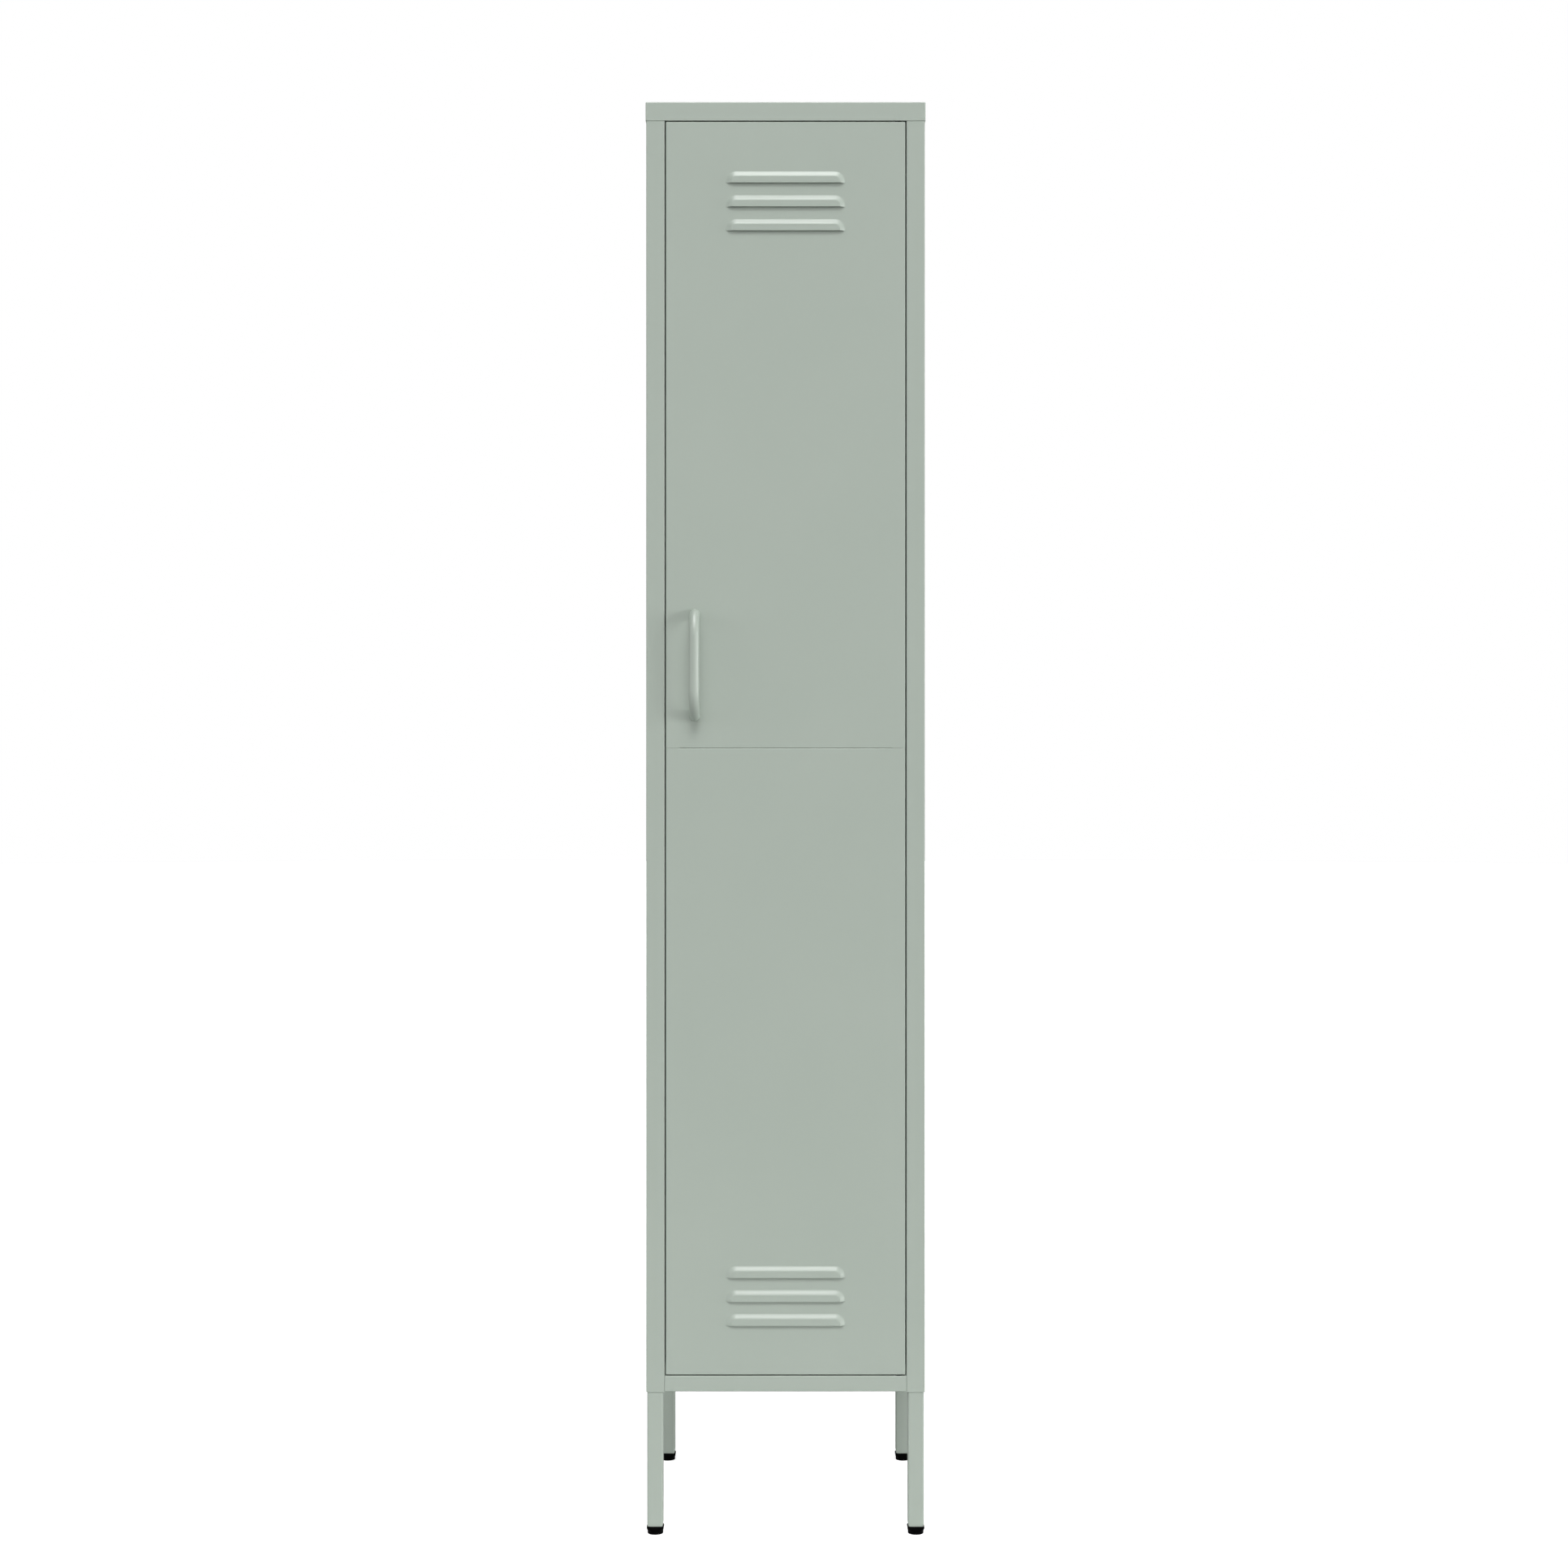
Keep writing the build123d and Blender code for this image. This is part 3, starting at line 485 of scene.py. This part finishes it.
def make_ferrite():
    """Dull grey sintered magnet."""
    shader = Shader("magnet")
    grains = shader.noise(1500, 4)
    tone = shader.between(grains, 0, 1)
    shader.colour(shader.blend(tone, (0.030, 0.030, 0.033), (0.070, 0.070, 0.075)))
    shader.roughness(shader.between(grains, 0.5, 0.7))
    shader.relief((grains, 0.02 * MM))
    shader.set(Metallic=0.3)
    return shader.material


powder_coat = make_powder_coat()
zinc = make_zinc()
chrome = make_chrome()
black_plastic = make_plastic(
    "black plastic", (0.0010, 0.0010, 0.0011), (0.0016, 0.0016, 0.0018), 0.40, 0.54, 0.02 * MM, 0.03
)
white_plastic = make_plastic(
    "white nylon", (0.70, 0.69, 0.64), (0.76, 0.75, 0.71), 0.38, 0.50, 0.008 * MM
)
rubber = make_plastic(
    "buffer rubber", (0.48, 0.48, 0.47), (0.56, 0.56, 0.55), 0.62, 0.78, 0.015 * MM
)
ferrite = make_ferrite()

FINISHES = {
    GREEN: powder_coat,
    "zinc_plated_steel": zinc,
    "chromed_steel": chrome,
    "black_plastic": black_plastic,
    "white_plastic": white_plastic,
    "magnet": ferrite,
    "buffer_rubber": rubber,
}


# ---- Cabinet shell ------------------------------------------------------------------------------
def slot_heights():
    """Middle heights of the rows of slots that hold the shelf clips."""
    first = FLOOR_TOP + SLOT_PITCH - SLOT_UNDER_SHELF
    last = lid_low.z - SLOT_TOP_MARGIN
    count = int((last - first) / SLOT_PITCH) + 1
    return [first + SLOT_PITCH * index for index in range(count)]


def side_panel():
    """Right side: wall, stile, rear post and both post lips with their rows of shelf slots."""
    lip_end = OPENING + POST_LIP
    slot_left = SLOT_X - SLOT_WIDTH / 2
    slot_right = SLOT_X + SLOT_WIDTH / 2
    lip_xs = [lip_end, slot_right, slot_left, OPENING]
    front_lip = FRONT + POST_DEPTH
    rear_lip = BACK - POST_DEPTH
    outline = [(x, front_lip) for x in lip_xs]
    outline += [(OPENING, FRONT), (HALF, FRONT), (HALF, BACK), (OPENING, BACK)]
    outline += [(x, rear_lip) for x in lip_xs[::-1]]
    slots = slot_heights()
    levels = [side_low.z]
    for height in slots:
        levels += [height - SLOT_HEIGHT / 2, height + SLOT_HEIGHT / 2]
    levels.append(side_high.z)

    def present(point, z):
        in_slot = min(abs(z - height) for height in slots) < SLOT_HEIGHT / 2
        on_lip = front_lip - TINY < point.y < rear_lip + TINY
        return not (in_slot and on_lip and slot_left < point.x < slot_right)

    return grid_sheet(rounded_path(outline, 1), levels, lambda p, z: (p.x, p.y, z), present)


def lid():
    """Cap with a skirt on its four sides."""
    bm = rounded_box(lid_low - Vector((0, 0, FLANGE)), lid_high, BEND)
    cut(bm, 2, lid_low.z, "below")
    return bm


def back_panel():
    """Tray with its flanges forwards and two holes for wall screws."""
    low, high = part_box("back_panel")
    bm = rounded_box(low - Vector((0, FLANGE, 0)), high, BEND)
    cut(bm, 1, low.y, "below")
    for side in (-1, 1):
        round_hole(bm, 1, (side * WALL_HOLE_X, high.y, WALL_HOLE_Z), WALL_HOLE_RADIUS)
    return bm


def add_tabs(bm, half, low_z, high_z):
    """Tabs folded back at both ends of a front rail."""
    for side in (-1, 1):
        corners = [
            (side * half, FRONT + SHEET / 2, low_z),
            (side * half, FRONT + TAB_DEPTH, low_z),
            (side * half, FRONT + TAB_DEPTH, high_z),
            (side * half, FRONT + SHEET / 2, high_z),
        ]
        bm.faces.new([bm.verts.new(corner) for corner in corners[::side]])


def bottom_panel():
    """Front rail, stop step and floor in one sheet, with flanges at the sides and the back."""
    rail_top = rail_low.z + RAIL_FACE_HEIGHT
    tongue_half = RAIL_HALF - SHEET - TONGUE_GAP
    front_clear = FRONT + POST_CLEAR
    rear_clear = BACK - POST_CLEAR
    wing = rail_high.x
    across = rounded_path(
        [(-wing, FLOOR_TOP - FLANGE)]
        + [(x, FLOOR_TOP) for x in (-wing, -RAIL_HALF, -tongue_half, tongue_half, RAIL_HALF, wing)]
        + [(wing, FLOOR_TOP - FLANGE)],
        -1,
    )
    along = rounded_path(
        [
            (FRONT + RAIL_FLANGE, rail_low.z),
            (FRONT, rail_low.z),
            (FRONT, rail_top),
            (FRONT + STEP_FACE, rail_top),
            (FRONT + STEP_FACE, FLOOR_TOP),
            (front_clear, FLOOR_TOP),
            (rear_clear, FLOOR_TOP),
            (rail_high.y, FLOOR_TOP),
            (rail_high.y, FLOOR_TOP - FLANGE),
        ],
        -1,
    )

    def present(u, v):
        if abs(u.x) > RAIL_HALF:
            return front_clear < v.x < rear_clear
        return abs(u.x) < tongue_half or v.x < rear_clear

    bm = cross_sheet(across, along, FLOOR_TOP, present)
    for vert in bm.verts:
        if abs(abs(vert.co.x) - RAIL_HALF) < TINY and vert.co.y < FRONT + TINY:
            vert.co.x = math.copysign(OPENING - RAIL_GAP, vert.co.x)
    add_tabs(bm, RAIL_HALF, rail_low.z + SHEET, rail_top - SHEET)
    return bm


def top_rail():
    """Channel behind the lid's skirt, with a window for the catch in the lip that stops the door."""
    skirt = lid_low.z + SKIRT_LAP
    lip_bottom = top_rail_low.z
    case_low, case_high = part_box("catch_magnet")
    window_x = (case_low.x - CATCH_CLEAR, case_high.x + CATCH_CLEAR)
    window_z = (case_low.z - CATCH_CLEAR, case_high.z + CATCH_CLEAR)
    path = rounded_path(
        [
            (FRONT + TOP_RAIL_FLANGE, top_rail_high.z),
            (FRONT, top_rail_high.z),
            (FRONT, skirt),
            (FRONT + STEP_FACE, skirt),
            (FRONT + STEP_FACE, window_z[1]),
            (FRONT + STEP_FACE, window_z[0]),
            (FRONT + STEP_FACE, lip_bottom),
            (FRONT + STEP_FACE + STOP_HEM, lip_bottom),
        ],
        1,
    )

    def present(point, x):
        return not (window_x[0] < x < window_x[1] and window_z[0] < point.y < window_z[1])

    xs = [-RAIL_HALF, *window_x, RAIL_HALF]
    bm = grid_sheet(path, xs, lambda p, x: (x, p.x, p.y), present)
    add_tabs(bm, RAIL_HALF, skirt + SHEET, top_rail_high.z - SHEET)
    return bm


def shelf(node):
    """Tray with its flanges down, notched round the rear posts, and a hem under its front lip."""
    low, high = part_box(node)
    top = high.z
    wing = high.x
    lip_half = OPENING + SHELF_LIP_OVERLAP
    tongue_half = RAIL_HALF - SHEET - TONGUE_GAP - SHELF_TONGUE_GAP
    rear_clear = BACK - POST_CLEAR
    flange_start = low.y + FLANGE
    flange_end = rear_clear - FLANGE
    across = rounded_path(
        [(-wing, low.z)]
        + [(x, top) for x in (-wing, -lip_half, -tongue_half, tongue_half, lip_half, wing)]
        + [(wing, low.z)],
        -1,
    )
    along = rounded_path(
        [
            (low.y + SHELF_HEM, low.z),
            (low.y, low.z),
            (low.y, top),
            (flange_start, top),
            (flange_end, top),
            (rear_clear, top),
            (high.y, top),
            (high.y, low.z),
        ],
        -1,
    )

    def present(u, v):
        if abs(u.x) > wing - BEND:
            return flange_start < v.x < flange_end
        if abs(u.x) > lip_half:
            return v.x < rear_clear and v.y > top - TINY
        return abs(u.x) < tongue_half or v.x < rear_clear

    return cross_sheet(across, along, top, present)


# ---- Door ---------------------------------------------------------------------------------------
def louvre_height(x, below_top, rise):
    """How far the pressed hood stands out of the door at a place. It rises in a soft S curve from the
    hood's outline inwards."""
    half = LOUVRE_WIDTH / 2
    inside_x = half - abs(x)
    if inside_x < LOUVRE_CORNER and below_top < LOUVRE_CORNER:
        from_centre = Vector((LOUVRE_CORNER - inside_x, LOUVRE_CORNER - below_top)).length
        inside = LOUVRE_CORNER - from_centre
    else:
        inside = min(inside_x, below_top)
    share = min(max(inside / LOUVRE_SLOPE, 0), 1)
    return rise * share * share * (3 - 2 * share)


def louvre_lines(bm, top):
    """Fine grid lines over one louvre's height."""
    cells = round(LOUVRE_HEIGHT / LOUVRE_CELL)
    for index in range(cells + 1):
        cut(bm, 2, top - LOUVRE_HEIGHT * index / cells)


def louvre_end_lines(bm):
    """Fine grid lines over the rounded ends that all the louvres share."""
    half = LOUVRE_WIDTH / 2
    length = LOUVRE_CORNER + LOUVRE_SLOPE
    cells = round(length / LOUVRE_CELL)
    for side, index in itertools.product((-1, 1), range(cells + 1)):
        cut(bm, 0, side * (half - length * index / cells))


def press_louvre(bm, top, rise):
    """Slits the sheet along the louvre's lower edge, presses the hood out, and raises the flat sheet's
    edge a little behind the hood's lip."""
    half = LOUVRE_WIDTH / 2
    bottom = top - LOUVRE_HEIGHT

    def on_face(point):
        return abs(point.y - FRONT) < TINY and abs(point.x) < half + TINY

    slit = []
    for edge in bm.edges:
        ends = [vert.co for vert in edge.verts]
        if all(on_face(end) and abs(end.z - bottom) < TINY for end in ends):
            slit.append(edge)
    bmesh.ops.split_edges(bm, edges=slit)
    for vert in bm.verts:
        if not (on_face(vert.co) and bottom - TINY < vert.co.z < top + TINY):
            continue
        heights = [face.calc_center_median().z for face in vert.link_faces]
        if max(heights) > bottom:
            vert.co.y -= louvre_height(vert.co.x, top - vert.co.z, rise)
        else:
            vert.co.z += LOUVRE_OVERLAP * louvre_height(vert.co.x, top - vert.co.z, 1)


def door_panel(node, direction):
    """Upper panel if direction is 1, lower panel if it is -1."""
    low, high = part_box(node)
    seam, far = (low.z, high.z) if direction > 0 else (high.z, low.z)
    rise = FRONT - low.y
    half = high.x
    rear = FRONT + DOOR_DEPTH
    beyond = seam - direction * DOOR_LIP
    bm = rounded_box((-half, FRONT, min(beyond, far)), (half, rear, max(beyond, far)), BEND)
    cut(bm, 2, seam, "below" if direction > 0 else "above")

    window = half - DOOR_LIP
    window_end = far - direction * DOOR_LIP
    plain = half - SEAM_PLAIN_END
    fold = seam + direction * SEAM_BEND
    for x in (window, plain):
        cut(bm, 0, -x)
        cut(bm, 0, x)
    cut(bm, 2, window_end)
    cut(bm, 2, fold)
    louvre_end_lines(bm)
    if direction > 0:
        tops = [far - LOUVRE_MARGIN - LOUVRE_PITCH * index for index in range(LOUVRE_COUNT)]
    else:
        lowest = far + LOUVRE_MARGIN + LOUVRE_HEIGHT
        tops = [lowest + LOUVRE_PITCH * index for index in range(LOUVRE_COUNT)]
    for top in tops:
        louvre_lines(bm, top)

    def in_window(c):
        return abs(c.y - rear) < TINY and abs(c.x) < window and (window_end - c.z) * direction > 0

    def in_fold(c):
        return abs(c.y - FRONT) < TINY and abs(c.x) < plain and (fold - c.z) * direction > 0

    remove_faces(bm, in_window)
    remove_faces(bm, in_fold)
    add_seam_flange(bm, fold, direction, plain)
    for top in tops:
        press_louvre(bm, top, rise)
    return bm


def add_seam_flange(bm, fold, direction, plain):
    """Folds the middle of a panel's seam edge back into a flange."""
    edges = []
    for edge in bm.edges:
        ends = [vert.co for vert in edge.verts]
        if all(
            abs(end.z - fold) < TINY and abs(end.y - FRONT) < TINY and abs(end.x) < plain + TINY
            for end in ends
        ):
            edges.append(edge)
    stations = []
    for step in range(1, BEND_STEPS + 1):
        angle = math.pi / 2 * step / BEND_STEPS
        stations.append((SEAM_BEND * (1 - math.cos(angle)), SEAM_BEND * math.sin(angle)))
    stations.append((SEAM_FLANGE, SEAM_BEND))
    for depth, drop in stations:
        grown = bmesh.ops.extrude_edge_only(bm, edges=edges)["geom"]
        for vert in (item for item in grown if isinstance(item, bmesh.types.BMVert)):
            vert.co.y = FRONT + depth
            vert.co.z = fold - direction * drop
        edges = [item for item in grown if isinstance(item, bmesh.types.BMEdge)]


def handle():
    """Round bar bent into a D."""
    low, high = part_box("handle")
    radius = (high.x - low.x) / 2
    x = (high.x + low.x) / 2
    stand = FRONT - low.y - radius
    lower_bend = []
    for step in range(HANDLE_STEPS + 1):
        angle = math.pi / 2 * step / HANDLE_STEPS
        lower_bend.append((stand * math.sin(angle), stand * (1 - math.cos(angle)), angle))
    stations = [(away, low.z + radius + up, angle) for away, up, angle in lower_bend]
    stations += [(away, high.z - radius - up, math.pi - angle) for away, up, angle in lower_bend[::-1]]
    rings = []
    for away, z, angle in stations:
        ring = []
        for step in range(HANDLE_SIDES):
            turn = 2 * math.pi * step / HANDLE_SIDES
            out = radius * math.sin(turn)
            y = FRONT - away - out * math.sin(angle)
            ring.append(Vector((x + radius * math.cos(turn), y, z - out * math.cos(angle))))
        rings.append(ring)
    return loft(rings, capped=True)


# ---- Legs, feet and coat rail -------------------------------------------------------------------
def leg(node):
    """Square tube, drawn in a little at its lower end."""
    low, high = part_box(node)
    x = (low.x + high.x) / 2
    y = (low.y + high.y) / 2
    half = (high.x - low.x) / 2
    rings = [
        rounded_square(x, y, low.z, half - LEG_TAPER, LEG_CORNER),
        rounded_square(x, y, low.z + LEG_TAPER_HEIGHT, half, LEG_CORNER),
        rounded_square(x, y, high.z, half, LEG_CORNER),
    ]
    return loft(rings, capped=False)


def foot(node):
    """Glide: a square shoulder that runs down to a round sole, with a plug inside the tube."""
    low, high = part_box(node)
    x = (low.x + high.x) / 2
    y = (low.y + high.y) / 2
    half = (high.x - low.x) / 2
    sole = half - SOLE_INSET
    profile = []
    for step in range(TREAD_STEPS + 1):
        angle = math.pi / 2 * step / TREAD_STEPS
        at = sole - TREAD_ROUND + TREAD_ROUND * math.sin(angle)
        profile.append((TREAD_ROUND * (1 - math.cos(angle)), at, at))
    profile.append((SOLE_TOP, sole, sole))
    profile += [(height, half - inset, corner) for height, inset, corner in SHOULDER]
    profile.append((PLUG_BOTTOM, PLUG_HALF, PLUG_CORNER))
    profile.append((high.z, PLUG_HALF, PLUG_CORNER))
    rings = [rounded_square(x, y, low.z + z, size, radius) for z, size, radius in profile]
    return loft(rings, capped=True)


def coat_rail():
    """Round tube from one side wall's socket to the other's."""
    low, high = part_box("coat_rail")
    radius = (high.z - low.z) / 2
    y = (low.y + high.y) / 2
    z = (low.z + high.z) / 2
    rings = []
    for x in (low.x, high.x):
        ring = []
        for step in range(TUBE_SIDES):
            turn = 2 * math.pi * step / TUBE_SIDES
            ring.append(Vector((x, y + radius * math.cos(turn), z + radius * math.sin(turn))))
        rings.append(ring)
    return loft(rings, capped=False)


sheet_piece("lid_shell", lid(), "lid")
sheet_piece("side_shell_right", side_panel(), "right_side_panel")
sheet_piece("side_shell_left", mirror_across(side_panel()), "left_side_panel")
sheet_piece("back_shell", back_panel(), "back_panel")
sheet_piece("bottom_shell", bottom_panel(), "bottom_panel")
sheet_piece("top_rail_shell", top_rail(), "top_rail")
for level in ("lower", "middle", "upper"):
    sheet_piece(f"shelf_tray_{level}", shelf(f"shelf_{level}"), f"shelf_{level}")
sheet_piece("door_shell_upper", door_panel("door_upper_panel", 1), "door_upper_panel")
sheet_piece("door_shell_lower", door_panel("door_lower_panel", -1), "door_lower_panel")
piece("handle_bar", handle(), "handle", powder_coat)
piece("coat_tube", coat_rail(), "coat_rail", chrome, thickness=LEG_WALL)
for place in ("front_left", "front_right", "rear_left", "rear_right"):
    piece(f"leg_tube_{place}", leg(f"leg_{place}"), f"leg_{place}", powder_coat, thickness=LEG_WALL)
    piece(
        f"foot_glide_{place}",
        foot(f"foot_{place}"),
        f"foot_{place}",
        black_plastic,
        edge_round=FOOT_ROUND,
    )


# ---- Materials of the CAD nodes that stay -------------------------------------------------------
def paint_kept_nodes():
    """Gives each CAD node that still shows the material of its slot in the record."""
    for entry in frame["record"]["subparts"]:
        part = frame["nodes"][entry["node"]]
        part.data.materials.clear()
        part.data.materials.append(FINISHES[entry["material_slot"]])


paint_kept_nodes()


# ---- Floor, lights and camera -------------------------------------------------------------------
FLOOR_RADIUS = 30.0
FLOOR_GLOW = 0.80
NEAR_BOUNCE = 0.86  # share of the light that the floor throws back close to the locker
FAR_BOUNCE = 0.35
NEAR_FLOOR = 0.8  # distances from the locker's middle between which that share falls
FAR_FLOOR = 3.0
WORLD_LIGHT = 0.17
KEY_AZIMUTHS = (-9, 7, 14)  # side by side, they make one broad soft light
KEY_ELEVATION = 50
KEY_SPREAD = 24
KEY_STRENGTH = 0.485
# Name, azimuth, elevation and spread in degrees, strength, and whether it only makes highlights.
LIGHTS = (
    ("shine", 4, 78, 36, 1.0, True),
    ("side", 56, 1, 18, 0.33, False),
    ("right edge", 82, 2, 20, 0.45, False),
    ("left edge", -72, 5, 40, 0.24, False),
    ("front", -10, 4, 100, 0.28, False),
)
CAMERA_DISTANCE = 3.446
CAMERA_HEIGHT = 0.9436
CAMERA_SIDE = -0.00196
CAMERA_LENS = 63.0


def make_floor():
    """Plain pale floor. The camera sees it glow evenly, and the locker gets scattered light from it."""
    bm = bmesh.new()
    bmesh.ops.create_circle(bm, cap_ends=True, radius=FLOOR_RADIUS, segments=96)
    mesh = bpy.data.meshes.new("floor")
    bm.to_mesh(mesh)
    bm.free()
    shader = Shader("pale floor")
    tone = shader.between(shader.noise(3, 2), 0, 1)
    shader.colour(shader.blend(tone, (0.86, 0.86, 0.86), (0.88, 0.88, 0.88)))
    shader.set(Roughness=0.8, Emission_Color=(1, 1, 1, 1), Emission_Strength=FLOOR_GLOW)
    dim = shader.nodes.new("ShaderNodeBsdfDiffuse")
    distance = shader.nodes.new("ShaderNodeVectorMath")
    distance.operation = "LENGTH"
    shader.links.new(shader.place, distance.inputs[0])
    bounce = shader.between(distance.outputs["Value"], NEAR_BOUNCE, FAR_BOUNCE, NEAR_FLOOR, FAR_FLOOR)
    shader.links.new(bounce, dim.inputs["Color"])
    path = shader.nodes.new("ShaderNodeLightPath")
    mix = shader.nodes.new("ShaderNodeMixShader")
    shader.links.new(path.outputs["Is Camera Ray"], mix.inputs["Fac"])
    shader.links.new(dim.outputs["BSDF"], mix.inputs[1])
    shader.links.new(shader.surface.outputs["BSDF"], mix.inputs[2])
    shader.links.new(mix.outputs["Shader"], shader.nodes["Material Output"].inputs["Surface"])
    mesh.materials.append(shader.material)
    floor = bpy.data.objects.new("floor", mesh)
    floor.location.z = cad_low.z
    bpy.context.scene.collection.objects.link(floor)


def make_world():
    """Even soft light from a white studio, seen as white."""
    world = bpy.data.worlds.new("studio")
    world.use_nodes = True
    bpy.context.scene.world = world
    nodes = world.node_tree.nodes
    links = world.node_tree.links
    light = nodes["Background"]
    light.inputs["Color"].default_value = (1, 1, 1, 1)
    light.inputs["Strength"].default_value = WORLD_LIGHT
    seen = nodes.new("ShaderNodeBackground")
    seen.inputs["Color"].default_value = (1, 1, 1, 1)
    seen.inputs["Strength"].default_value = 1.0
    path = nodes.new("ShaderNodeLightPath")
    mix = nodes.new("ShaderNodeMixShader")
    links.new(path.outputs["Is Camera Ray"], mix.inputs["Fac"])
    links.new(light.outputs["Background"], mix.inputs[1])
    links.new(seen.outputs["Background"], mix.inputs[2])
    links.new(mix.outputs["Shader"], nodes["World Output"].inputs["Surface"])


def soft_light(name, azimuth, elevation, spread, strength, gloss_only):
    """Distant soft light, even over the locker's height. Azimuth 0 is in front, 90 to the right."""
    turn = math.radians(azimuth)
    lift = math.radians(elevation)
    away = Vector((
        math.sin(turn) * math.cos(lift),
        -math.cos(turn) * math.cos(lift),
        math.sin(lift),
    ))
    lamp = bpy.data.lights.new(name, "SUN")
    lamp.angle = math.radians(spread)
    lamp.energy = math.pi * strength
    stand = bpy.data.objects.new(name, lamp)
    stand.rotation_euler = away.to_track_quat("Z", "Y").to_euler()
    stand.visible_diffuse = not gloss_only
    bpy.context.scene.collection.objects.link(stand)


def make_camera():
    """Level camera, square on to the front."""
    lens = bpy.data.cameras.new("camera")
    lens.lens = CAMERA_LENS
    camera = bpy.data.objects.new("camera", lens)
    camera.location = (CAMERA_SIDE, FRONT - CAMERA_DISTANCE, CAMERA_HEIGHT)
    camera.rotation_euler = (math.pi / 2, 0, 0)
    bpy.context.scene.collection.objects.link(camera)
    bpy.context.scene.camera = camera


make_floor()
make_world()
for azimuth in KEY_AZIMUTHS:
    share = KEY_STRENGTH / len(KEY_AZIMUTHS)
    soft_light(f"key {azimuth}", azimuth, KEY_ELEVATION, KEY_SPREAD, share, False)
for light in LIGHTS:
    soft_light(*light)
make_camera()
bpy.context.scene.view_settings.view_transform = "Standard"
